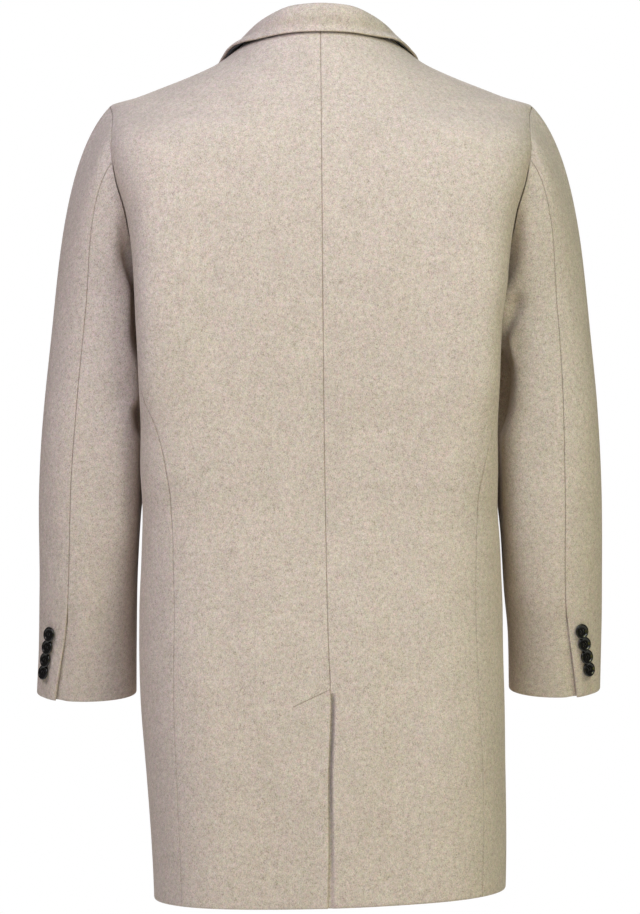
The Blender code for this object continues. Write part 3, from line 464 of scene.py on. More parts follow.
# Fibres of the cloth from dark to pale, its tints with the scale of each, and other colours, as linear light
WOOL_FIBRES = (
    (0.36, (0.300, 0.248, 0.212)), (0.44, (0.455, 0.388, 0.340)), (0.50, (0.545, 0.470, 0.415)),
    (0.56, (0.620, 0.543, 0.487)), (0.64, (0.700, 0.628, 0.572)),
)
WOOL_WARM = (1.02, 0.985, 0.94)
WOOL_SHEEN = (0.95, 0.90, 0.84)
# Painted shade: along sewn edges the cloth's colour is multiplied towards this, standing in for the shadow in
# the seam
SEAM_PAINTED_SHADE = (0.52, 0.47, 0.42)
# Painted shade: along the vent tack's groove the cloth's colour is multiplied by this, standing in for its
# shadow
TACK_PAINTED_SHADE = (0.70, 0.68, 0.66)
WOOL_TINTS = (
    (620.0, ((0.34, (1.045, 0.970, 1.010)), (0.50, (1.0, 1.0, 1.0)), (0.66, (0.965, 1.025, 0.965)))),
    (150.0, ((0.34, (1.020, 0.985, 1.015)), (0.50, (1.0, 1.0, 1.0)), (0.66, (0.985, 1.012, 0.980)))),
    (470.0, ((0.34, (1.008, 1.0, 0.940)), (0.50, (1.0, 1.0, 1.0)), (0.66, (0.992, 1.0, 1.060)))),
)
FELT_FIBRES = ((0.35, (0.055, 0.062, 0.080)), (0.50, (0.110, 0.122, 0.150)), (0.66, (0.180, 0.194, 0.225)))
HORN_STREAKS = ((0.35, (0.004, 0.004, 0.004)), (0.62, (0.009, 0.008, 0.008)), (0.84, (0.030, 0.024, 0.020)))
DARK_THREAD = ((0.0, (0.010, 0.010, 0.010)), (1.0, (0.030, 0.029, 0.028)))
TAN_THREAD = ((0.0, (0.30, 0.25, 0.20)), (1.0, (0.46, 0.40, 0.34)))
FLOOR_TONES = ((0.3, (0.88, 0.88, 0.87)), (0.7, (0.91, 0.91, 0.90)))

# The photograph's view, the floor below the wearer's feet, and the studio's lamps
VIEW_DISTANCE = 4.5
VIEW_LEVEL = -0.456
VIEW_ASIDE = 0.0011
VIEW_HEIGHT = 0.98255
VIEW_END = 60.0
FLOOR = -1.50
FLOOR_REACH = 3.2
FLOOR_SIDES = 96
FILL_LIGHT = 0.07
FILL_COLOUR = (1.0, 0.935, 0.850)
LAMPS = table(
    "name place aim wide high power colour",
    ("left", (2.03, 1.96, 1.6), (0.0, 0.0, -0.30), 0.9, 0.9, 36.0, (1.0, 0.895, 0.895)),
    ("right", (-2.03, 1.96, 1.6), (0.0, 0.0, -0.30), 0.9, 0.9, 31.6, (0.985, 1.0, 0.615)),
    ("left_near", (0.85, 2.75, 1.75), (0.0, 0.0, -0.40), 0.7, 0.7, 9.6, (1.0, 0.920, 0.935)),
    ("right_near", (-0.85, 2.75, 1.75), (0.0, 0.0, -0.40), 0.7, 0.7, 8.8, (0.985, 1.0, 0.670)),
    ("left_high", (0.75, 1.6, 0.30), (0.0, 0.1, -0.15), 0.5, 0.5, 7.2, (0.800, 0.815, 1.0)),
    ("right_high", (-0.75, 1.6, 0.30), (0.0, 0.1, -0.15), 0.5, 0.5, 6.3, (0.800, 0.840, 0.960)),
    ("above", (0.0, 1.6, 2.3), (0.0, 0.0, -0.10), 1.2, 0.8, 29.0, (0.550, 0.700, 1.0)),
    ("low", (-1.3, 2.0, -0.9), (-0.12, 0.0, -0.80), 0.8, 0.5, 5.0, (1.0, 0.960, 0.160)),
    ("front", (0.0, -3.4, 0.9), (0.0, 0.0, -0.45), 2.4, 1.8, 80.0, (1.0, 0.985, 0.965)),
)


def hermite(start, end, start_rise, end_rise, share):
    """A smooth curve between two values, with a given rise at each end."""
    rest = 1 - share
    return (start * (1 + 2 * share) * rest ** 2 + end * (3 - 2 * share) * share ** 2
            + start_rise * share * rest ** 2 - end_rise * share ** 2 * rest)


def smooth(rows, name, at):
    """A column of a table at any place along its first column, as a smooth curve that never overshoots."""
    rows = sorted(rows)
    knots = np.array([row[0] for row in rows])
    values = np.array([getattr(row, name) for row in rows])
    steps = np.diff(knots)
    rises = np.diff(values) / steps
    slopes = np.zeros_like(values)
    slopes[0], slopes[-1] = rises[0], rises[-1]
    for index in range(1, len(rises)):
        before, after = rises[index - 1], rises[index]
        if before * after > 0:
            slopes[index] = 2 * before * after / (before + after)
    at = np.asarray(at, dtype=float)
    place = np.clip(np.searchsorted(knots, at) - 1, 0, len(steps) - 1)
    share = np.clip((at - knots[place]) / steps[place], 0, 1)
    return hermite(values[place], values[place + 1], slopes[place] * steps[place],
                   slopes[place + 1] * steps[place], share)


def through(knots, points, at):
    """A smooth curve through a row of points, for all rows at once."""
    slopes = np.gradient(points, knots, axis=1)
    place = np.clip(np.searchsorted(knots, at, side="right") - 1, 0, len(knots) - 2)
    step = (knots[place + 1] - knots[place])[None, :, None]
    share = ((at - knots[place]) / (knots[place + 1] - knots[place]))[None, :, None]
    return hermite(points[:, place], points[:, place + 1], slopes[:, place] * step,
                   slopes[:, place + 1] * step, share)


def ease(low, high, at):
    """A soft step from 0 at low to 1 at high."""
    share = np.clip((np.asarray(at, dtype=float) - low) / (high - low), 0, 1)
    return share * share * (3 - 2 * share)


def unit(vectors):
    return vectors / np.maximum(np.linalg.norm(vectors, axis=-1, keepdims=True), TINY)


def apart(turn, other):
    """Degrees from one turn to another, the short way round."""
    return np.mod(turn - other + 180.0, 360.0) - 180.0


def half_width(z):
    """Half of the body's width where it is widest."""
    return smooth(LEVELS, "half_width", z)


def centre_back(z):
    """Width of the centre-back seam."""
    return smooth(CENTRE_BACK, "place", z)


def side_seam(z, side):
    """Depth of the seam between the back and the side."""
    return smooth(SIDE_BACK, "left" if side > 0 else "right", z)


def front_seam(z):
    """Depth of the seam between the side and the front."""
    return smooth(SIDE_FRONT, "place", z)


def press(y, z):
    """How far the hanging arm presses the body's side in."""
    return smooth(LEVELS, "press", z) * ease(*PRESS_FRONT, y) * (1 - ease(*PRESS_BACK, y))


def facing(y, z):
    """Depth and squareness of the half of the body that y lies in."""
    behind = np.asarray(y) >= 0
    depth = np.where(behind, smooth(LEVELS, "back", z), smooth(LEVELS, "front", z))
    square = np.where(behind, smooth(LEVELS, "back_square", z), smooth(LEVELS, "front_square", z))
    return depth, square


def across_square(square):
    """Squareness of a section along its width: where the shoulder is arched, the back stays smooth."""
    return np.maximum(square, 2.0)


def body_width(y, z):
    """Half of the body's width at a depth, before the arm presses it in."""
    depth, square = facing(y, z)
    share = np.clip(np.abs(y) / depth, 0, 1)
    return half_width(z) * (1 - share ** square) ** (1 / across_square(square))


def body_from_width(width, z, way):
    """Points of the body at a width: way is 1 for its back and -1 for its front."""
    width, z = np.broadcast_arrays(np.asarray(width, dtype=float), np.asarray(z, dtype=float))
    depth, square = facing(way * np.ones_like(z), z)
    share = np.clip(np.abs(width) / half_width(z), 0, 1)
    y = way * depth * (1 - share ** across_square(square)) ** (1 / square)
    x = np.sign(width) * (np.abs(width) - press(y, z))
    return np.stack([x, y, z], axis=-1)


def body_from_depth(y, z, side):
    """Points of the body's left (1) or right (-1) side at a depth."""
    y, z = np.broadcast_arrays(np.asarray(y, dtype=float), np.asarray(z, dtype=float))
    return np.stack([side * (body_width(y, z) - press(y, z)), y, z], axis=-1)


def fullness(points):
    """How far outside the body's form each point lies."""
    x, y, z = points[..., 0], points[..., 1], points[..., 2]
    depth, square = facing(y, z)
    width = (np.abs(x) + press(y, z)) / half_width(z)
    return width ** across_square(square) + (np.abs(y) / depth) ** square


def form_rises(points):
    """How much the fullness of the body's form rises over a small step along each axis."""
    rises = [fullness(points + shift) - fullness(points - shift) for shift in np.eye(3) * FORM_STEP]
    return np.stack(rises, axis=-1)


def body_normal(points):
    """Directions straight out of the body's form."""
    return unit(form_rises(points))


def off_body(points):
    """How far points stand off the body's form."""
    return (fullness(points) - 1) / np.linalg.norm(form_rises(points) / (2 * FORM_STEP), axis=-1)


def clear_of_body(points, need):
    """Points moved straight out wherever they come closer to the body's form than they need."""
    return points + body_normal(points) * np.maximum(need - off_body(points), 0)[..., None]


def body_fold(points):
    """How far the soft folds stand out of the body's form."""
    turn = np.degrees(np.arctan2(points[..., 0], points[..., 1]))
    height = np.zeros(points.shape[:-1])
    for fold in BODY_FOLDS:
        across = (turn - fold.turn) / fold.width
        along = (points[..., 2] - fold.z) / fold.length
        height += fold.height * np.exp(-across ** 2 - along ** 2)
    return height


def trough(across, along, crease):
    """A soft trough with a lower ridge beside it, dying out at both ends."""
    start = np.array([crease.from_across, crease.from_z])
    way = np.array([crease.to_across, crease.to_z]) - start
    long = np.linalg.norm(way)
    way = way / long
    off = np.stack([across, along], axis=-1) - start
    share = np.sum(off * way, axis=-1) / long
    side = (off[..., 0] * -way[1] + off[..., 1] * way[0]) / crease.width
    ends = ease(-crease.fade, CREASE_BEGINS * crease.fade, share) * (1 - ease(*CREASE_ENDS, share))
    ridge_beside = CREASE_RIDGE * np.exp(-((side - CREASE_RIDGE_AT) / CREASE_RIDGE_WIDTH) ** 2)
    return crease.depth * ends * (ridge_beside - np.exp(-side ** 2))


def body_crease(points):
    """How far the creases of the back and front stand out."""
    height = np.zeros(points.shape[:-1])
    for crease in BODY_CREASES:
        here = trough(points[..., 0], points[..., 2], crease)
        height += here * (points[..., 1] * crease.way > 0)
    return height


def settle(points):
    """The right side is held in beside the arm, and the lower body hangs aside, its hem askew."""
    x, z = points[..., 0], points[..., 2]
    drop = ease(SWAY_START, HEM, z)
    beside = ease(*HELD_FROM, z) * (1 - ease(*HELD_TO, z))
    moved = points.copy()
    moved[..., 0] += HEM_SWAY * drop + RIGHT_IN * ease(*RIGHT_HELD, x) * beside
    moved[..., 2] += (HEM_RISE * (x / LEVELS[-1].half_width) ** 2 - HEM_TILT * x) * drop
    return moved


def body_wall(grid, lift, thickness):
    """Outer and inner faces of a panel that lies on the body's form, lifted off it by lift."""
    normal = body_normal(grid)
    top = (lift + body_fold(grid) + body_crease(grid))[..., None]
    return settle(grid + normal * top), settle(grid + normal * (top - thickness))


def on_cloth(x, z, way, lift):
    """A point that stands off the cloth of the back (1) or front (-1)."""
    at = body_from_width(np.array(x), np.array(z), way)
    return settle(at + body_normal(at) * (lift + body_fold(at) + body_crease(at)))


def paced(length, count, first=True, last=True):
    """Distances along a length: close together at the ends that are turned, even between them."""
    head = np.array(EDGE_STEPS) if first else np.zeros(1)
    tail = length - np.array(EDGE_STEPS)[::-1] if last else np.array([length])
    middle = np.linspace(head[-1], tail[0], count + 1)[1:-1]
    return np.concatenate([head, middle, tail])


def stops(length, first=True, last=True):
    """The same as shares of the length, in cells of the usual size."""
    return paced(length, max(3, round(length / CELL)), first, last) / length


def lengths(points, axis):
    """Distance of each point from the start of its row (axis 1) or column (axis 0)."""
    steps = np.linalg.norm(np.diff(points, axis=axis), axis=-1)
    start = np.zeros_like(np.take(steps, [0], axis=axis))
    return np.concatenate([start, np.cumsum(steps, axis=axis)], axis=axis)


def respace(plan, way, axis, count, first=True):
    """A panel's plan with its points moved to even distances along its rows or columns."""
    along = lengths(body_from_width(plan[..., 0], plan[..., 1], way), axis)
    if axis == 0:
        plan, along = plan.swapaxes(0, 1), along.T
    lines = []
    for line, length in zip(plan, along):
        at = paced(length[-1], count, first)
        lines.append(np.stack([np.interp(at, length, line[:, part]) for part in range(2)], axis=-1))
    made = np.stack(lines)
    return made.swapaxes(0, 1) if axis == 0 else made


def meet(grid, *edges):
    """Lengthens a panel a very little at the named edges, which are sewn, to press the seams shut."""
    grid = grid.copy()
    for edge in edges:
        lines = grid if edge.endswith("row") else grid.swapaxes(0, 1)
        end, onward = (0, 1) if edge.startswith("first") else (-1, -2)
        lines[end] -= unit(lines[onward] - lines[end]) * SEAM_PRESS
    return grid


def turned(faces, **edges):
    """Rounds a panel's edges, each named as folded (1), sewn (0) or between them, and marks sewn ones for a
    line of painted shade.
    """
    outer, inner = faces
    wall = inner - outer
    thick = np.linalg.norm(wall, axis=-1)
    sink = np.zeros_like(thick)
    pinch = np.zeros_like(thick)
    sewn = np.zeros_like(thick)
    for edge, folded in edges.items():
        axis = 0 if edge.endswith("row") else 1
        away = lengths(outer, axis)
        if edge.startswith("last"):
            away = np.take(away, [-1], axis=axis) - away
        folded = np.asarray(folded, dtype=float)
        if folded.ndim:
            folded = np.expand_dims(folded, axis)
        near = np.clip(1 - away / SEAM_ROUND, 0, 1)
        sink = np.maximum(sink, (1 - folded) * SEAM_ROUND * (1 - np.sqrt(1 - near ** 2)))
        # The sewn mask: where the wool paints shade along a seam, standing in for the shadow in the seam's
        # groove
        sewn = np.maximum(sewn, (1 - folded) * np.clip(1 - away / SEAM_SHADE_WIDTH, 0, 1))
        close = np.clip(1 - away / (FOLDED_REACH * thick), 0, 1)
        pinch = np.maximum(pinch, folded * FOLDED_PINCH * (1 - np.sqrt(1 - close ** 2)))
    way = wall / thick[..., None]
    return outer + way * sink[..., None] + wall * pinch[..., None], inner - wall * pinch[..., None], sewn


def patch(bottom, top, left, right, across, upward):
    """A surface between four edges."""
    across, upward = across[None, :, None], upward[:, None, None]
    corners = ((1 - upward) * ((1 - across) * bottom[0] + across * bottom[-1])
               + upward * ((1 - across) * top[0] + across * top[-1]))
    return ((1 - upward) * bottom[None] + upward * top[None]
            + (1 - across) * left[:, None] + across * right[:, None] - corners)


def plan_of(widths, heights):
    """Widths and heights as the points of a plan."""
    return np.stack(np.broadcast_arrays(widths, heights), axis=-1)


def plan_across():
    """Shares across a plan, closer together where the panel turns to the side."""
    return np.sin(np.linspace(0, 1, PLAN_STEPS + 1) * PLAN_BEND) / math.sin(PLAN_BEND)


def plan_rise():
    """Shares up the upper half of a plan, closer together at the shoulder."""
    return 1 - (1 - np.linspace(0, 1, PLAN_STEPS + 1)) ** PLAN_RISE


def hem_wall(heights):
    """Thickness of the body's wall at each height: the hem is turned up inside."""
    turned_up = HEM + HEM_TURN
    return WALL + HEM_LAYER * (1 - ease(turned_up - HEM_STEP, turned_up + HEM_STEP, heights))


def ridge(widths):
    """Heights of the shoulder line at widths from the neck."""
    heights = np.linspace(SHOULDER_POINT, 0, RIDGE_STEPS)
    return np.interp(-widths, -half_width(heights), heights)


def panel_plan(side, way, edge_at, edge_heights, seam_at, arm_seam, top, cells):
    """The plan of a back (way 1) or front (-1), from its inner edge to its side seam and shoulder."""
    across, rise = plan_across(), plan_rise()
    heights = HEM + (CHEST - HEM) * stops(CHEST - HEM, last=False)
    edge = edge_at(heights)
    seam = side * body_width(seam_at(heights), heights)
    lower = plan_of(edge[:, None] + (seam - edge)[:, None] * across[None, :], heights[:, None])
    arm_heights = CHEST + (SHOULDER_POINT - CHEST) * rise
    left = plan_of(edge_at(edge_heights), edge_heights)
    right = plan_of(side * body_width(smooth(arm_seam, "place", arm_heights), arm_heights), arm_heights)
    upper = respace(patch(lower[-1], top, left, right, across, rise), way, 0, cells[1], first=False)
    plan = respace(np.concatenate([lower, upper[1:]]), way, 1, cells[0])
    line = half_width(plan[-1, :, 1])
    on_line = np.abs(plan[-1, :, 0]) > RIDGE_SHARE * line
    plan[-1, :, 0] = np.where(on_line, np.sign(plan[-1, :, 0]) * line, plan[-1, :, 0])
    return plan


def underlapped(plan):
    """The right back's plan with fine columns beside the vent and the underlap beyond its edge."""
    reach = UNDERLAP * ease(VENT_TOP, VENT_TOP - VENT_SLANT, plan[:, 0, 1])
    step = reach / UNDERLAP_STEPS + UNDERLAP_LEAST
    beyond = [plan[:, 0] + plan_of(step * count, 0 * reach) for count in range(UNDERLAP_STEPS, 0, -1)]
    after = len(EDGE_STEPS)
    last, onward = plan[:, after - 1], plan[:, after]
    fine = [last + (onward - last) * share for share in SLOT_SHARES]
    columns = beyond + list(plan[:, :after].swapaxes(0, 1)) + fine + list(plan[:, after:].swapaxes(0, 1))
    return np.stack(columns, axis=1)


def faint(z, from_side):
    """How much of the painted shade line of a side seam shows: little of it low down."""
    return 1 - FAINT_SHARE * (1 - ease(*FAINT_HEIGHTS, z)) * (from_side < FAINT_WIDTH)


def back_panel(side):
    """The left (1) or right (-1) back: the left laps over the right one at the vent."""
    across = plan_across()
    neck_width, shoulder_width = half_width(NECK_POINT), half_width(SHOULDER_POINT)
    neck = np.sin(np.clip(across / NECK_SHARE, 0, 1) * math.pi / 2)
    shoulder = np.clip((across - NECK_SHARE) / (1 - NECK_SHARE), 0, 1)
    along = neck_width + (shoulder_width - neck_width) * shoulder
    at_neck = across < NECK_SHARE
    top_heights = np.where(at_neck, NECK_POINT * neck ** NECK_DIP, ridge(along))
    top = plan_of(side * np.where(at_neck, neck_width * neck, half_width(top_heights)), top_heights)
    edge_heights = CHEST * (1 - plan_rise())
    top[0, 0] = centre_back(edge_heights)[-1]

    def seam_at(z):
        return side_seam(z, side)

    plan = panel_plan(side, 1, centre_back, edge_heights, seam_at, ARMHOLE_BACK, top, BACK_CELLS)
    if side < 0:
        plan = underlapped(plan)
    widths, heights = plan[..., 0], plan[..., 1]
    grid = meet(body_from_width(widths, heights, 1), "last_row", "first_column", "last_column")
    from_edge = widths - centre_back(heights)
    if side < 0:
        opened = 1 - ease(*VENT_OPENS, heights)
        near = ease(*VENT_SLOT, from_edge + VENT_WIDER * opened)
        near = near * (1 - VENT_SHALLOW * opened * (1 - ease(0.0, VENT_UNDER, from_edge)))
        lift = -(WALL + VENT_DEPTH) * near * (1 - ease(VENT_TOP - VENT_EASE, VENT_TOP, heights))
    else:
        near = 1 - ease(0.0, VENT_STAND_WIDTH, from_edge)
        lift = VENT_STAND * near * (1 - ease(VENT_TOP - VENT_STAND_EASE, VENT_TOP, heights))
    faces = body_wall(grid, lift, hem_wall(heights)[..., None])
    open_edge = 1 - ease(VENT_TOP + VENT_EDGE[0], VENT_TOP + VENT_EDGE[1], heights[:, 0])
    outer, inner, sewn = turned(faces, first_row=1, last_row=0, first_column=open_edge, last_column=0)
    return outer, inner, sewn * faint(heights, lengths(outer, 1)[:, -1:] - lengths(outer, 1))


def side_panel(side):
    """The panel under the arm, between the back and the front."""
    share = stops(SIDE_WIDTH)
    heights = HEM + (CHEST - HEM) * stops(CHEST - HEM)
    rise = (heights - HEM) / (CHEST - HEM)
    bend = (UNDERARM - CHEST) * (1 - (2 * share - 1) ** 2)
    z = heights[:, None] + bend[None, :] * rise[:, None] ** 3
    back, front = side_seam(z, side), front_seam(z)
    grid = body_from_depth(back + (front - back) * share[None, :], z, side)
    grid = meet(grid, "last_row", "first_column", "last_column")
    faces = body_wall(grid, np.zeros(grid.shape[:-1]), hem_wall(z)[..., None])
    outer, inner, sewn = turned(faces, first_row=1, last_row=0, first_column=0, last_column=0)
    return outer, inner, sewn * faint(z, lengths(outer, 1))


def roll_line(z):
    """Width of the left front's edge: straight up to the break, then along the roll of the lapel."""
    share = np.clip((np.asarray(z) - BREAK) / (NECK_POINT - BREAK), 0, 1)
    return -FRONT_LAP + (half_width(NECK_POINT) + FRONT_LAP) * share


def front_lift(widths, side):
    """The right front lies under the left one at the closure."""
    if side > 0:
        return np.zeros_like(widths)
    return -(WALL + LAYER_GAP) * ease(-FRONT_LAP - FRONT_SINK[0], -FRONT_LAP - FRONT_SINK[1], widths)


def front_panel(side):
    """The left (1) or right (-1) front, up to the roll of its lapel."""
    neck_width, shoulder_width = half_width(NECK_POINT), half_width(SHOULDER_POINT)
    top_heights = ridge(neck_width + (shoulder_width - neck_width) * plan_across())
    top = plan_of(side * half_width(top_heights), top_heights)
    edge_heights = CHEST + (NECK_POINT - CHEST) * plan_rise()

    def edge_at(z):
        return side * roll_line(z)

    plan = panel_plan(side, -1, edge_at, edge_heights, front_seam, ARMHOLE_FRONT, top, FRONT_CELLS)
    widths, heights = plan[..., 0], plan[..., 1]
    grid = meet(body_from_width(widths, heights, -1), "last_row", "last_column")
    faces = body_wall(grid, front_lift(widths, side), hem_wall(heights)[..., None])
    return turned(faces, first_row=1, last_row=0, first_column=1, last_column=0)


def lapel_edge(share):
    """Outer edge of the left lapel from the break to its tip, as width and height."""
    start = np.array([-FRONT_LAP + LAPEL_END, BREAK])
    way = np.array(LAPEL_TIP) - start
    out = np.array([-way[1], way[0]]) / np.linalg.norm(way)
    return start + way * share[:, None] - out * (LAPEL_FULLNESS * np.sin(math.pi * share))[:, None]


def lapel(side):
    """A lapel turned back on its front and rolled over at its inner edge."""
    share = stops(LAPEL_LENGTH)
    share = share if side > 0 else LAPEL_SHOWS + (1 - LAPEL_SHOWS) * share
    heights = BREAK + (GORGE - BREAK) * share
    roll = roll_line(heights)
    if side < 0:
        roll = np.maximum(roll, LAPEL_CLEAR - roll)
    inner = plan_of(roll, heights)
    across = stops(LAPEL_WIDTH, first=False)
    plan = inner[:, None] + (lapel_edge(share) - inner)[:, None] * across[None, :, None]
    grid = body_from_width(side * plan[..., 0], plan[..., 1], -1)
    lift = LAYER_GAP + LAPEL_WALL + LAPEL_ROLL * np.exp(-(across / LAPEL_ROLL_REACH) ** 2)
    outer, under = body_wall(grid, np.broadcast_to(lift, grid.shape[:-1]), LAPEL_WALL)
    normal = unit(outer[:, :1] - under[:, :1])
    away = unit(outer[:, :1] - outer[:, 2:3])
    bend = np.radians(np.linspace(LAPEL_TURNED, 0, LAPEL_TURN_STEPS))[None, :-1, None]
    half = lift[0] / 2
    middle = outer[:, :1] - normal * half
    ray = normal * np.cos(bend) + away * np.sin(bend)
    outer = np.concatenate([middle + ray * half, outer], axis=1)
    under = np.concatenate([middle + ray * (half - LAPEL_WALL), under], axis=1)
    return turned((outer, under), first_row=1, last_row=1, last_column=1)


def flap(side):
    """A pocket flap on its front, its lower corners rounded."""
    share = stops(FLAP_WIDTH)
    down = stops(FLAP_HEIGHT)
    turn = np.radians(FLAP_FROM + (FLAP_TO - FLAP_FROM) * share)[None, :]
    round_off = FLAP_CORNER * (np.clip(1 - share * FLAP_WIDTH / FLAP_CORNER, 0, 1) ** 2
                               + np.clip(1 - (1 - share) * FLAP_WIDTH / FLAP_CORNER, 0, 1) ** 2)
    z = FLAP_TOP - (FLAP_HEIGHT - round_off[None, :]) * down[:, None] - FLAP_FALL * (share[None, :] - 1)
    width = half_width(z) * np.sin(turn) ** (2 / smooth(LEVELS, "front_square", z))
    grid = body_from_width(side * width, z, -1)
    faces = body_wall(grid, np.full(grid.shape[:-1], LAYER_GAP + FLAP_WALL), FLAP_WALL)
    outer, inner, sewn = turned(faces, first_row=0, last_row=1, first_column=1, last_column=1)
    return outer, inner, FLAP_SEAM_SHADE * sewn


def armhole(turn):
    """Points and outward directions of the left armhole, by degrees from the shoulder."""
    heights = np.linspace(SHOULDER_POINT, CHEST, ARMHOLE_STEPS)
    shares = np.linspace(0, 1, UNDERARM_STEPS)
    first, last = side_seam(CHEST, 1), front_seam(CHEST)
    turn = np.mod(np.asarray(turn, dtype=float), 360.0)
    share = np.where(turn <= 180, turn, 360 - turn) / 180
    found = []
    for arm_seam, start in ((ARMHOLE_BACK, first), (ARMHOLE_FRONT, last)):
        down = body_from_depth(smooth(arm_seam, "place", heights), heights, 1)
        y = start + (0.5 * (first + last) - start) * shares
        bend = (UNDERARM - CHEST) * (1 - ((2 * y - first - last) / (first - last)) ** 2)
        under = body_from_depth(y, CHEST + bend, 1)
        line = np.concatenate([down, under[1:]])
        along = lengths(line, 0)
        along = along / along[-1]
        found.append(np.stack([np.interp(share, along, line[:, axis]) for axis in range(3)], axis=-1))
    points = np.where((turn <= 180)[..., None], found[0], found[1])
    return points, body_normal(points)


def tube(z, turn):
    """Points of the hanging left sleeve below the armhole, squarer at the inner back."""
    angle = np.radians(turn)
    full = 1 + smooth(CORNER, "place", z) * np.exp(-(apart(turn, CORNER_TURN) / CORNER_WIDTH) ** 2)
    x = smooth(SLEEVE, "middle_x", z) + smooth(SLEEVE, "half_x", z) * full * np.cos(angle)
    y_off = smooth(SLEEVE, "half_y", z) * full * np.sin(angle)
    y = smooth(SLEEVE, "middle_y", z) + y_off
    return np.stack(np.broadcast_arrays(x, y, z - smooth(SLEEVE, "lean", z) * y_off), axis=-1)


def cap(share, turn):
    """Points of the sleeve between the armhole (0) and the first full section (1)."""
    first = SLEEVE[0].z
    start, normal = armhole(turn)
    under = ((1 - np.cos(np.radians(turn))) / 2)[..., None]
    leave = unit((1 - under) * ASIDE + CAP_SPREAD * under * normal - UP)
    start = start + leave * SLEEVE_START + normal * under * SLEEVE_CLEAR
    end = tube(np.full_like(turn, first), turn)
    onward = unit(tube(np.full_like(turn, first - CAP_ONWARD), turn) - end)
    reach = np.linalg.norm(end - start, axis=-1, keepdims=True)
    near = start + leave * reach * CAP_ROUND
    far = end - onward * reach * CAP_FALL
    s = share[..., None]
    return (1 - s) ** 3 * start + 3 * (1 - s) ** 2 * s * near + 3 * (1 - s) * s ** 2 * far + s ** 3 * end


def pressed(points, place, side):
    """Sleeve points with the back half of the inner side pressed flat beside the body."""
    over = smooth(PRESSED, "left" if side > 0 else "right", points[..., 2]) - points[..., 0]
    held = 0.5 * (over + np.sqrt(over ** 2 + PRESSED_ROUND[side] ** 2))
    held = held * ease(*PRESSED_BEHIND, points[..., 1]) * ease(*PRESSED_BELOW, place)
    return points + held[..., None] * ASIDE


def sleeve_point(place, turn, side=1):
    """Points of the left sleeve: place runs 0 to 1 over the cap, then with the height below it."""
    place, turn = np.broadcast_arrays(np.asarray(place, dtype=float), np.asarray(turn, dtype=float))
    head = cap(np.clip(place, 0, 1), turn)
    length = SLEEVE[-1].z - SLEEVE[0].z
    body = tube(SLEEVE[0].z + np.clip(place - 1, 0, 1) * length, turn)
    return pressed(np.where((place <= 1)[..., None], head, body), place, side)


def sleeve_normal(place, turn, side=1):
    """Directions straight out of the sleeve."""
    along = sleeve_point(np.minimum(place + SLEEVE_STEP, 2), turn, side)
    along = along - sleeve_point(np.maximum(place - SLEEVE_STEP, 0), turn, side)
    round_it = sleeve_point(place, turn + SLEEVE_TURN_STEP, side)
    round_it = round_it - sleeve_point(place, turn - SLEEVE_TURN_STEP, side)
    return unit(np.cross(along, round_it))


def sleeve_fold(points, turn, side):
    """How far the soft folds and creases of a sleeve stand out."""
    z = points[..., 2]
    height = np.zeros(points.shape[:-1])
    for fold in SLEEVE_FOLDS:
        if fold.side == side:
            off = apart(turn, fold.turn)
            along = z - fold.z - off / fold.slope * FOLD_RUN if fold.slope else z - fold.z
            height += fold.height * np.exp(-(off / fold.width) ** 2 - (along / fold.length) ** 2)
    for crease in SLEEVE_CREASES:
        if crease.way == side:
            off = apart(turn, crease.from_across) + crease.from_across
            flat = crease._replace(from_across=math.radians(crease.from_across) * SLEEVE_ROUND,
                                   to_across=math.radians(crease.to_across) * SLEEVE_ROUND)
            height += trough(np.radians(off) * SLEEVE_ROUND, z, flat)
    return height


def hang(points, side):
    """Left sleeve points moved to their own arm; the right one hangs shorter, its cuff narrower."""
    moved = points * np.array([side, 1.0, 1.0])
    if side < 0:
        z = points[..., 2]
        share = (points[..., 0] - smooth(SLEEVE, "middle_x", z)) / smooth(SLEEVE, "half_x", z)
        moved[..., 0] = -smooth(SLEEVE, "right_x", z) - share * smooth(SLEEVE, "right_half", z)
        moved[..., 2] += RIGHT_SLEEVE_RISE * ease(SLEEVE[0].z, SLEEVE[-1].z, z)
    return moved


def cuff_lift(heights, from_seam):
    """How far the top sleeve stands out beside its cuff vent, by degrees from the back seam."""
    down = ease(CUFF_VENT_TOP, CUFF_VENT_TOP - CUFF_EASE, heights)
    return CUFF_LIFT * down * ease(-CUFF_TURN, 0.0, from_seam)


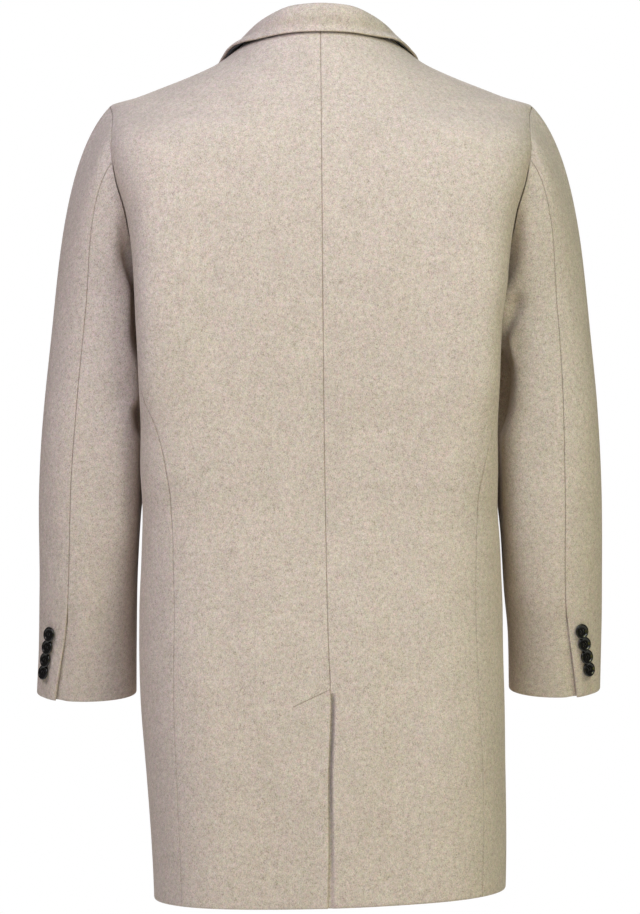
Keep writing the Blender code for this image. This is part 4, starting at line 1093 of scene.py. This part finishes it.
def sleeve_panel(side, upper):
    """The top sleeve or the under sleeve of the left (1) or right (-1) arm."""
    length = SLEEVE[0].z - SLEEVE[-1].z
    places = np.concatenate([stops(CAP_LENGTH, last=False), 1 + stops(length, first=False)[1:]])
    seam_heights = np.where(places <= 1, SHOULDER_POINT + (SLEEVE[0].z - SHOULDER_POINT) * places,
                            SLEEVE[0].z - (places - 1) * length)
    back = smooth(SLEEVE_SEAMS, "back_left" if side > 0 else "back_right", seam_heights)
    front = smooth(SLEEVE_SEAMS, "front", seam_heights)
    vent = 1 - ease(CUFF_VENT_TOP - CUFF_VENT_EASE, CUFF_VENT_TOP, seam_heights)
    if upper:
        start, end = front - 360, back
        edges = {"first_column": 0, "last_column": vent}
    else:
        start, end = back - CUFF_LAP * vent, front
        edges = {"first_column": vent, "last_column": 0}
    share = stops(TOP_SLEEVE_WIDTH if upper else UNDER_SLEEVE_WIDTH)
    turn = start[:, None] + (end - start)[:, None] * share[None, :]
    place = np.broadcast_to(places[:, None], turn.shape)
    grid = meet(sleeve_point(place, turn, side), "first_column", "last_column")
    normal = sleeve_normal(place, turn, side)
    from_seam = turn - back[:, None]
    if upper:
        lift = cuff_lift(seam_heights[:, None], from_seam)
    else:
        below = ease(CUFF_VENT_TOP + CUFF_SINK[0], CUFF_VENT_TOP + CUFF_SINK[1], seam_heights)[:, None]
        lift = -(WALL + LAYER_GAP) * below * (1 - ease(*CUFF_SINK_TURN, from_seam))
    lift = lift + sleeve_fold(grid, turn, side) * ease(*CAP_FOLD_SHARE, place)
    outer = grid + normal * lift[..., None]
    body_way = armhole(turn[0])[1]
    near = np.exp(-(lengths(outer, 0) / CAP_BEND) ** 2)[..., None]
    bent_in = ease(*CAP_BEND_SHARE, np.sum(normal[0] * body_way, axis=-1))[None, :, None]
    inward = unit(normal + near * bent_in * (body_way[None] - normal))
    turned_up = 2 - HEM_TURN / length
    cuff = HEM_LAYER * ease(turned_up - CUFF_STEP, turned_up + CUFF_STEP, place)
    inner = outer - inward * (WALL + cuff)[..., None]
    return turned((hang(outer, side), hang(inner, side)), first_row=0, last_row=1, **edges)


def collar_line(name):
    """A line of the collar from its right end round the back to its left end."""
    other = [row._replace(turn=-row.turn, seam_x=-row.seam_x, fold_x=-row.fold_x,
                          edge_x=-row.edge_x * RIGHT_EDGE) for row in COLLAR[1:]]
    both = COLLAR + tuple(other)
    return np.stack([smooth(both, name + axis, COLLAR_TURNS) for axis in ("_x", "_y", "_z")], axis=-1)


def outward(grid, column):
    """Directions straight out of a strip of the collar: a column's middle faces the back."""
    normal = unit(np.cross(np.gradient(grid, axis=0), np.gradient(grid, axis=1)))
    return normal * np.sign(normal[COLLAR_STEPS // 2, column, 1])


def collar_surface():
    """The collar's right side: up the stand on the neck side, over the roll and down the fall to its edge."""
    seam, fold, edge = (collar_line(name) for name in ("seam", "fold", "edge"))
    share = np.linspace(0, 1, FALL_ROWS)
    start = fold + UP * (COLLAR_WALL + LAYER_GAP)
    fall = start[:, None] + (edge - start)[:, None] * share[None, :, None]
    fall = fall + outward(fall, 0) * np.interp(share, *FALL_FLARE)[None, :, None]
    fall = clear_of_body(fall, COLLAR_WALL + LAYER_GAP + FELT_WALL + FALL_CLEAR)
    from_back = np.abs(COLLAR_TURNS)
    rest_at = np.interp(COLLAR_TURNS, *FALL_RESTS)[:, None]
    pulled = ease(*FALL_PULLED, share)[None, :] * (1 - ease(*FALL_PULL_ENDS, from_back))[:, None]
    fall = fall + body_normal(fall) * ((rest_at - off_body(fall)) * pulled)[..., None]
    fall[..., 2] += FALL_RAISE * pulled * (1 - ease(*FALL_RAISE_ENDS, from_back))[:, None]
    inward = -outward(np.stack([seam, 0.5 * (seam + fold), fold], axis=1), 1)[:, 1]
    low = seam + inward * STAND_WALL
    high = fold + inward * STAND_WALL * STAND_FULLER
    path = np.concatenate([np.stack([low, 0.5 * (low + high), high], axis=1), fall], axis=1)
    steps = np.linalg.norm(np.diff(path, axis=1), axis=-1).mean(axis=0)
    knots = np.concatenate([[0], np.cumsum(steps)])
    at = paced(knots[-1], COLLAR_CELLS)
    return through(knots, path, at), at - knots[3]


def collar():
    """The stand and the fall as one folded strip."""
    grid, _ = collar_surface()
    inner = grid - outward(grid, OUTWARD_COLUMN) * COLLAR_WALL
    return turned((grid, inner), first_row=1, last_row=1, first_column=0, last_column=1)


def undercollar():
    """The felt under the fall, a little short of its edge."""
    grid, past_roll = collar_surface()
    normal = outward(grid, OUTWARD_COLUMN)
    rows = slice(FELT_ENDS, -FELT_ENDS)
    columns = slice(np.flatnonzero(past_roll > FELT_START)[0], -FELT_SHORT)
    under = (grid - normal * (COLLAR_WALL + FELT_GAP))[rows, columns]
    inner = under - normal[rows, columns] * FELT_WALL
    return turned((under, inner), first_row=1, last_row=1, last_column=1)


def placed(name, data):
    """A new object in the scene."""
    made = bpy.data.objects.new(name, data)
    bpy.context.scene.collection.objects.link(made)
    return made


def meshed(name, points, quads, material):
    """A smooth-shaded piece from points and four-cornered faces."""
    data = bpy.data.meshes.new(name)
    data.vertices.add(len(points))
    data.vertices.foreach_set("co", np.ascontiguousarray(points, dtype=np.float32).ravel())
    data.loops.add(4 * len(quads))
    data.loops.foreach_set("vertex_index", np.ascontiguousarray(quads, dtype=np.int32).ravel())
    data.polygons.add(len(quads))
    data.polygons.foreach_set("loop_start", np.arange(0, 4 * len(quads), 4, dtype=np.int32))
    data.update(calc_edges=True)
    data.validate()
    data.shade_smooth()
    data.materials.append(material)
    piece = placed(name, data)
    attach(piece, "root")
    return piece


def shell(name, faces, material):
    """A panel as a thin closed shell between its outer and inner faces, its seams carrying the sewn mask for
    painted shade.
    """
    outer, inner, sewn = faces
    rows, columns = outer.shape[:2]
    count = rows * columns
    index = np.arange(count).reshape(rows, columns)
    quads = np.stack([index[:-1, :-1], index[:-1, 1:], index[1:, 1:], index[1:, :-1]], axis=-1).reshape(-1, 4)
    round_it = np.concatenate([index[0, :-1], index[:-1, -1], index[-1, :0:-1], index[:0:-1, 0]])
    after = np.roll(round_it, -1)
    rim = np.stack([after, round_it, round_it + count, after + count], axis=-1)
    corners = np.concatenate([quads, quads[:, ::-1] + count, rim])
    row, column = rows // 2, columns // 2
    middle = outer[row, column]
    out = np.cross(outer[row, column + 1] - middle, outer[row + 1, column] - middle)
    if np.dot(out, middle - inner[row, column]) < 0:
        corners = corners[:, ::-1]
    points = np.concatenate([outer.reshape(-1, 3), inner.reshape(-1, 3)])
    piece = meshed(name, points, corners, material)
    # The sewn attribute tells the wool where to paint shade along the seams
    marks = piece.data.attributes.new("sewn", "FLOAT", "POINT")
    marks.data.foreach_set("value", np.concatenate([sewn.ravel(), sewn.ravel()]).astype(np.float32))
    return piece


class Look:
    """A material's shader and nodes, with short ways to add and join them."""

    def __init__(self, name):
        self.material = bpy.data.materials.new(name)
        self.material.use_nodes = True
        self.tree = self.material.node_tree
        self.shader = self.tree.nodes["Principled BSDF"]
        self.place = self.node("ShaderNodeTexCoord").outputs["Object"]

    def feed(self, made, sockets):
        """Sets a node's sockets to numbers, colours or vectors, or joins them to other nodes."""
        for key, value in sockets.items():
            socket = made.inputs[key]
            if isinstance(value, (int, float)):
                socket.default_value = value
            elif isinstance(value, tuple):
                socket.default_value = (*value, 1.0) if socket.type == "RGBA" else value
            else:
                self.tree.links.new(value, socket)

    def node(self, kind, sockets=None, **values):
        made = self.tree.nodes.new(kind)
        for name, value in values.items():
            setattr(made, name, value)
        self.feed(made, sockets or {})
        return made

    def maths(self, way, one, two):
        return self.node("ShaderNodeMath", {0: one, 1: two}, operation=way).outputs[0]

    def vectors(self, way, sockets):
        return self.node("ShaderNodeVectorMath", sockets, operation=way)

    def summed(self, values, shares):
        """The sum of some values, each times its own share."""
        total = None
        for value, share in zip(values, shares):
            part = self.maths("MULTIPLY", value, share)
            total = part if total is None else self.maths("ADD", total, part)
        return total

    def noise(self, scale, detail=2.0, rough=0.5, distortion=0.0, place=None):
        sockets = {"Scale": scale, "Detail": detail, "Roughness": rough, "Distortion": distortion,
                   "Vector": self.place if place is None else place}
        return self.node("ShaderNodeTexNoise", sockets).outputs["Fac"]

    def stretched(self, size, turn):
        """Places of the surface, stretched and turned."""
        turn = tuple(math.radians(angle) for angle in turn)
        sockets = {"Scale": size, "Rotation": turn, "Vector": self.place}
        return self.node("ShaderNodeMapping", sockets).outputs["Vector"]

    def ranged(self, value, **limits):
        """A value moved from one range to another, with the sockets' names in lower case."""
        sockets = {name.replace("_", " ").title(): limit for name, limit in limits.items()}
        return self.node("ShaderNodeMapRange", {"Value": value, **sockets})

    def ramp(self, value, steps):
        made = self.node("ShaderNodeValToRGB", {"Fac": value})
        band = made.color_ramp
        while len(band.elements) < len(steps):
            band.elements.new(0.5)
        for element, (place, colour) in zip(band.elements, steps):
            element.position = place
            element.color = (*colour, 1.0)
        return made.outputs["Color"]

    def mixed(self, share, one, two, way="MIX"):
        """Two colours mixed: the mix node takes them at its sockets 6 and 7."""
        sockets = {0: share, 6: one, 7: two}
        return self.node("ShaderNodeMix", sockets, data_type="RGBA", blend_type=way).outputs[2]

    def multiplied(self, one, two):
        return self.mixed(1.0, one, two, "MULTIPLY")

    def finish(self, colour, height, strength, distance, **sockets):
        """Joins colour and bump to the shader, sets its other sockets, and gives the material."""
        bump = self.node("ShaderNodeBump", {"Strength": strength, "Distance": distance, "Height": height})
        named = {name.replace("_", " "): value for name, value in sockets.items()}
        self.feed(self.shader, {"Base Color": colour, "Normal": bump.outputs["Normal"], **named})
        return self.material


def wool(name, line=None):
    """Milled melange wool: pale and dark fibres felted together, with a short soft nap, painted shade along
    its seams and, given a line, a groove with painted shade along it.
    """
    look = Look(name)
    fibres = [look.noise(scale=900.0, detail=3.0, rough=0.62)]
    for lean in STRAND_LEANS:
        along = look.stretched(WOOL_STRANDS, (0.0, lean, 0.0))
        fibres.append(look.noise(scale=1.0, rough=0.6, distortion=0.5, place=along))
    clump = look.maths("MULTIPLY", look.noise(scale=240.0), CLUMP_SHARE)
    grain = look.maths("SUBTRACT", look.summed(fibres, WOOL_GRAIN), GRAIN_SHIFT)
    colour = look.ramp(look.maths("ADD", clump, grain), WOOL_FIBRES)
    warm = look.maths("MULTIPLY", look.noise(scale=21.0, detail=1.0), WARM_SHARE)
    colour = look.mixed(warm, colour, look.multiplied(colour, WOOL_WARM))
    for scale, tints in WOOL_TINTS:
        colour = look.multiplied(colour, look.ramp(look.noise(scale), tints))
    broad = look.ranged(look.noise(scale=34.0), from_min=0.25, from_max=0.75, to_min=0.955, to_max=1.045)
    level = look.node("ShaderNodeCombineColor", {part: broad.outputs["Result"] for part in range(3)})
    colour = look.multiplied(colour, level.outputs["Color"])
    # Painted shade along the seams: the colour darkens where the sewn attribute is, standing in for the
    # seam's shadow
    sewn = look.node("ShaderNodeAttribute", attribute_name="sewn").outputs["Fac"]
    colour = look.mixed(look.maths("MULTIPLY", sewn, SEAM_SHADE_SHOWS), colour, look.multiplied(colour, SEAM_PAINTED_SHADE))
    height = look.summed(fibres, WOOL_NAP)
    # The tack's line: a groove in the bump, with painted shade darkening the colour along it
    if line is not None:
        groove = grooved(look, *line)
        height = look.maths("ADD", height, look.maths("MULTIPLY", groove, GROOVE_DEPTH))
        colour = look.mixed(groove, look.multiplied(colour, TACK_PAINTED_SHADE), colour)
    return look.finish(colour, height, strength=0.30, distance=0.0005, Roughness=0.92,
                       Specular_IOR_Level=0.12, Sheen_Weight=0.12, Sheen_Roughness=0.55,
                       Sheen_Tint=WOOL_SHEEN)


def grooved(look, start, end):
    """A value that is 0 along a line in the cloth and 1 away from it."""
    way = end - start
    along = tuple(way.normalized())
    off = look.vectors("SUBTRACT", {0: look.place, 1: tuple(start)}).outputs["Vector"]
    run = look.vectors("DOT_PRODUCT", {0: off, 1: along}).outputs["Value"]
    held = look.maths("MINIMUM", look.maths("MAXIMUM", run, 0.0), way.length)
    foot = look.vectors("SCALE", {0: along, "Scale": held}).outputs["Vector"]
    gap = look.vectors("DISTANCE", {0: off, 1: foot}).outputs["Value"]
    groove = look.ranged(gap, from_min=0.0002, from_max=0.0010)
    groove.interpolation_type = "SMOOTHSTEP"
    return groove.outputs["Result"]


def felt():
    """Dark grey-blue undercollar felt."""
    look = Look("felt")
    fibres = look.noise(scale=1100.0, detail=3.0, rough=0.6), look.noise(scale=320.0)
    fibre = look.summed(fibres, FELT_GRAIN)
    return look.finish(look.ramp(fibre, FELT_FIBRES), fibre, strength=0.35, distance=0.0004, Roughness=0.95,
                       Specular_IOR_Level=0.1, Sheen_Weight=0.2)


def horn():
    """Near-black horn with faint brown streaks, polished on its raised parts."""
    look = Look("horn")
    along = look.stretched(size=(900.0, 200.0, 900.0), turn=(0.0, 0.0, 30.0))
    streak = look.noise(scale=1.0, detail=4.0, rough=0.6, distortion=1.4, place=along)
    dull = look.ranged(look.noise(scale=1500.0, detail=3.0, rough=0.6), to_min=0.14, to_max=0.30)
    return look.finish(look.ramp(streak, HORN_STREAKS), look.noise(scale=2600.0), strength=0.10,
                       distance=0.0002, Roughness=dull.outputs["Result"])


def thread(name, tones):
    """Twisted sewing thread."""
    look = Look(name)
    twist = look.node("ShaderNodeTexWave", {"Scale": 900.0, "Distortion": 1.5, "Vector": look.place},
                      wave_type="BANDS", bands_direction="DIAGONAL").outputs["Fac"]
    return look.finish(look.ramp(twist, tones), twist, strength=0.4, distance=0.0002, Roughness=0.7)


def pale_floor():
    """A plain pale floor, a little uneven."""
    look = Look("floor")
    look.feed(look.shader, {"Base Color": look.ramp(look.noise(scale=3.0), FLOOR_TONES), "Roughness": 0.8})
    return look.material


def tubes(name, lines, radius, material, sides):
    """Many short threads as one mesh: each line is a row of points that the thread follows."""
    points, quads = [], []
    angle = np.linspace(0, 2 * math.pi, sides, endpoint=False)[None, :, None]
    for line in lines:
        line = np.asarray(line)
        along = unit(np.gradient(line, axis=0))
        aside = unit(np.cross(along, THREAD_ACROSS))
        up = np.cross(along, aside)
        swell = np.full(len(line), radius)
        swell[[0, -1]] = radius * THREAD_END
        ring_of = aside[:, None] * np.cos(angle) + up[:, None] * np.sin(angle)
        base = sum(len(part) for part in points)
        points.append((line[:, None] + ring_of * swell[:, None, None]).reshape(-1, 3))
        for row in range(len(line) - 1):
            for step in range(sides):
                a = base + row * sides + step
                b = base + row * sides + (step + 1) % sides
                quads.append((a, b, b + sides, a + sides))
        for row in (0, len(line) - 1):
            ends = [base + row * sides + step for step in range(sides)]
            for step in range(1, sides - 2, 2):
                face = (ends[0], ends[step], ends[step + 1], ends[step + 2])
                quads.append(face if row else face[::-1])
    return meshed(name, np.concatenate(points), np.array(quads), material)


def ring(radius, height, sides, x=0.0, y=0.0):
    """Points evenly round a circle."""
    turns = np.linspace(0, 2 * math.pi, sides, endpoint=False)
    return [(radius * math.cos(turn) + x, radius * math.sin(turn) + y, height) for turn in turns]


def drum(name, rings):
    """A closed form in the scene from rings of points, one above the other."""
    sides = len(rings[0])
    faces = []
    for base in range(0, (len(rings) - 1) * sides, sides):
        for step in range(sides):
            onward = base + (step + 1) % sides
            faces.append((base + step, onward, onward + sides, base + step + sides))
    faces.append(tuple(range(sides))[::-1])
    faces.append(tuple(range((len(rings) - 1) * sides, len(rings) * sides)))
    data = bpy.data.meshes.new(name)
    data.from_pydata([point for row in rings for point in row], [], faces)
    return placed(name, data)


def button_mesh(width, thick):
    """A rimmed horn button: a turned profile with a dished face and four holes."""
    piece = drum("button", [ring(part.radius * width / 2, part.height * thick, BUTTON_SIDES)
                            for part in BUTTON_TURNING])
    spare = [piece]
    off = BUTTON_HOLE_AT * width
    for x, y in ((-off, -off), (-off, off), (off, -off), (off, off)):
        drill = drum("drill", [ring(BUTTON_HOLE * width, height, HOLE_SIDES, x, y)
                               for height in (-thick, 2 * thick)])
        bore = piece.modifiers.new("bore", "BOOLEAN")
        bore.operation, bore.solver, bore.object = "DIFFERENCE", "EXACT", drill
        spare.append(drill)
    shaped = bpy.data.meshes.new_from_object(piece.evaluated_get(bpy.context.evaluated_depsgraph_get()))
    for made in spare:
        bpy.data.objects.remove(made, do_unlink=True)
    shaped.shade_smooth()
    shaped.set_sharp_from_angle(angle=math.radians(SHARP_EDGE))
    return shaped


def sewn_button(name, node, shape, middle, normal, up, tilt, width, thick, looks):
    """A button in its place, with the thread that holds it."""
    horn_look, thread_look = looks
    up = unit(up - normal * np.dot(up, normal))
    lean = math.radians(tilt)
    axis = normal * math.cos(lean) + up * math.sin(lean)
    rise = up * math.cos(lean) - normal * math.sin(lean)
    aside = np.cross(rise, axis)
    frame_of = np.eye(4)
    frame_of[:3] = np.stack([aside, rise, axis, middle], axis=1)
    data = shape.copy()
    data.name = name
    data.materials.clear()
    data.materials.append(horn_look)
    data.transform(Matrix(frame_of.tolist()))
    piece = placed(name, data)
    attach(piece, "root")
    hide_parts(node)
    lines = []
    for side in (-1, 1):
        for shift in BUTTON_STRANDS:
            start = middle + aside * (side * BUTTON_HOLE_AT * width + shift * BUTTON_HOLE * width)
            line = []
            for share in np.linspace(-1, 1, STRAND_STEPS):
                over = STRAND_ARCH * (1 - share ** 2) - STRAND_DIP * max(0.0, abs(share) - STRAND_DIP_FROM)
                line.append(start + rise * share * BUTTON_HOLE_AT * width * STRAND_REACH
                            + axis * (BUTTON_DISH * thick + over))
            lines.append(line)
    lines.append([middle + normal * depth for depth in SHANK])
    sewn = tubes(name + "_thread", lines, BUTTON_THREAD, thread_look, THREAD_SIDES)


def cuff_buttons(looks):
    """The rows of buttons beside the cuff vents, each tilted onto the next."""
    length = SLEEVE[-1].z - SLEEVE[0].z
    shape = button_mesh(SLEEVE_BUTTON, SLEEVE_BUTTON_THICK)
    foot = BUTTON_FOOT * SLEEVE_BUTTON / 2 * math.sin(math.radians(SLEEVE_BUTTON_TILT))
    for row in BUTTON_ROWS:
        name = "left" if row.side > 0 else "right"
        for index in range(SLEEVE_BUTTONS):
            z = row.z - SLEEVE_BUTTON_PITCH * index
            narrow = smooth(SLEEVE, "right_half", z) / smooth(SLEEVE, "half_x", z) if row.side < 0 else 1.0
            turn = np.array(row.first + (row.last - row.first) * index / (SLEEVE_BUTTONS - 1))
            place = np.array(1 + (z - SLEEVE[0].z) / length)
            normal = sleeve_normal(place, turn)
            up = unit(sleeve_point(place - BUTTON_UP_STEP, turn) - sleeve_point(place + BUTTON_UP_STEP, turn))
            from_seam = turn - smooth(SLEEVE_SEAMS, "back_" + name, z)
            stand_off = cuff_lift(z, from_seam) + SEAM_GAP + foot
            middle = hang(sleeve_point(place, turn) + normal * stand_off, row.side)
            normal = unit(normal * np.array([row.side / narrow, 1.0, 1.0]))
            up = unit(up * np.array([row.side * narrow, 1.0, 1.0]))
            sewn_button(f"cuff_button_{name}_{index + 1}", f"sleeve_button_{name}_{index + 1}", shape, middle,
                        normal, up, SLEEVE_BUTTON_TILT, SLEEVE_BUTTON, SLEEVE_BUTTON_THICK, looks)


def front_fastening(looks, hole_look):
    """The front buttons with their worked buttonholes, which reach towards the front edge."""
    shape = button_mesh(FRONT_BUTTON, FRONT_BUTTON_THICK)
    for index in range(FRONT_BUTTONS):
        z = FRONT_BUTTON_TOP - FRONT_BUTTON_PITCH * index
        point = body_from_width(np.array(0.0), np.array(z), -1)
        normal = body_normal(point)
        middle = settle(point + normal * (LAYER_GAP + body_fold(point)))
        sewn_button(f"closing_button_{index + 1}", f"front_button_{index + 1}", shape, middle,
                    normal, UP, 0.0, FRONT_BUTTON, FRONT_BUTTON_THICK, looks)
        stitches = []
        for step in range(2 * BUTTONHOLE_STITCHES):
            side = 1 if step % 2 else -1
            width = BUTTONHOLE_START - BUTTONHOLE * (step // 2) / (BUTTONHOLE_STITCHES - 1)
            stitches.append([on_cloth(width, z + side * off, -1, lift) for off, lift in HOLE_STITCH])
        worked = tubes(f"buttonhole_{index + 1}", stitches, HOLE_THREAD, hole_look, STITCH_SIDES)


def vent_tack(material):
    """The slanting row of stitches that holds the top of the back vent."""
    start, end = (np.array(point) for point in VENT_TACK)
    count = int(np.linalg.norm(end - start) / TACK_PITCH)
    stitches = []
    for index in range(count):
        line = []
        for share, lift in TACK_STITCH:
            x, z = start + (end - start) * (index + share * TACK_SHARE) / count
            line.append(on_cloth(x, z, 1, lift))
        stitches.append(line)
    piece = tubes("vent_tack", stitches, TACK_THREAD, material, STITCH_SIDES)


def set_camera():
    """The photograph's view: straight on from behind, a little below the middle of the back."""
    data = bpy.data.cameras.new("camera")
    data.sensor_fit = "VERTICAL"
    data.angle_y = 2 * math.atan(VIEW_HEIGHT / 2 / VIEW_DISTANCE)
    data.clip_end = VIEW_END
    camera = placed("camera", data)
    camera.location = (VIEW_ASIDE, VIEW_DISTANCE, VIEW_LEVEL)
    camera.rotation_euler = (math.pi / 2, 0.0, math.pi)
    bpy.context.scene.camera = camera


def set_light():
    """Soft studio light from lamps round the coat, on a white surround that hardly lights it."""
    scene = bpy.context.scene
    scene.view_settings.view_transform = "Standard"
    scene.view_settings.look = "None"
    for lamp in LAMPS:
        data = bpy.data.lights.new(lamp.name, "AREA")
        data.shape, data.size, data.size_y = "RECTANGLE", lamp.wide, lamp.high
        data.energy = lamp.power
        data.color = lamp.colour
        light = placed(lamp.name, data)
        light.location = lamp.place
        light.rotation_euler = (Vector(lamp.aim) - Vector(lamp.place)).to_track_quat("-Z", "Y").to_euler()
    world = bpy.data.worlds.new("surround")
    scene.world = world
    world.use_nodes = True
    tree = world.node_tree
    shown = tree.nodes["Background"]
    shown.inputs["Color"].default_value = (1.0, 1.0, 1.0, 1.0)
    shown.inputs["Strength"].default_value = 1.0
    fill = tree.nodes.new("ShaderNodeBackground")
    fill.inputs["Color"].default_value = (*FILL_COLOUR, 1.0)
    fill.inputs["Strength"].default_value = FILL_LIGHT
    path = tree.nodes.new("ShaderNodeLightPath")
    both = tree.nodes.new("ShaderNodeMixShader")
    tree.links.new(path.outputs["Is Camera Ray"], both.inputs["Fac"])
    tree.links.new(fill.outputs["Background"], both.inputs[1])
    tree.links.new(shown.outputs["Background"], both.inputs[2])
    tree.links.new(both.outputs["Shader"], tree.nodes["World Output"].inputs["Surface"])


def set_floor():
    """A plain pale floor, well below the hem."""
    data = bpy.data.meshes.new("floor")
    data.from_pydata(ring(FLOOR_REACH, FLOOR, FLOOR_SIDES), [], [tuple(range(FLOOR_SIDES))])
    data.materials.append(pale_floor())
    placed("floor", data)


def sew(name, nodes, slot, faces, look, rests_on, seam, hem, held="hung"):
    """One piece of cloth: made, and set in place of its solids."""
    piece = shell(name, faces, look)
    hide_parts(*nodes)


def dress():
    """Every piece of cloth, then what is sewn on it."""
    plain = wool("wool")
    tack = [Vector(settle(body_from_width(np.array(x), np.array(z), 1)).tolist()) for x, z in VENT_TACK]
    # Wool for the left back, with the tack's groove in its bump and painted shade along it
    tack_groove_shaded_wool = wool("wool_vent", tack)
    panel, small = (SEAM_ALLOWANCE, HEM_ALLOWANCE), (SMALL_ALLOWANCE, SMALL_ALLOWANCE)
    for side, name in ((1, "left"), (-1, "right")):
        back, front, top_sleeve = f"back_{name}", f"front_{name}", f"top_sleeve_{name}"
        pieces = (
            (back, back_panel(side), tack_groove_shaded_wool if side > 0 else plain, ["collar_stand"], panel),
            (f"side_{name}", side_panel(side), plain, [back, front], panel),
            (front, front_panel(side), plain, [back], panel),
            (f"lapel_{name}", lapel(side), plain, [front], small),
            (top_sleeve, sleeve_panel(side, True), plain, [back, front], panel),
            (f"under_sleeve_{name}", sleeve_panel(side, False), plain, [top_sleeve], panel),
            (f"pocket_flap_{name}", flap(side), plain, [front], small),
        )
        for node, faces, look, rests_on, allowances in pieces:
            sew(node + "_cloth", [node], "wool", faces, look, rests_on, *allowances)
    sew("collar_cloth", ["collar_stand", "collar_fall"], "wool", collar(), plain, ["back_left", "back_right"],
        *small, held="folded")
    sew("undercollar_felt", ["undercollar"], "felt", undercollar(), felt(), ["collar_fall"], 0.0, 0.0)
    looks = horn(), thread("button_thread", DARK_THREAD)
    tan = thread("wool_thread", TAN_THREAD)
    cuff_buttons(looks)
    front_fastening(looks, tan)
    vent_tack(tan)


set_camera()
set_light()
set_floor()
dress()
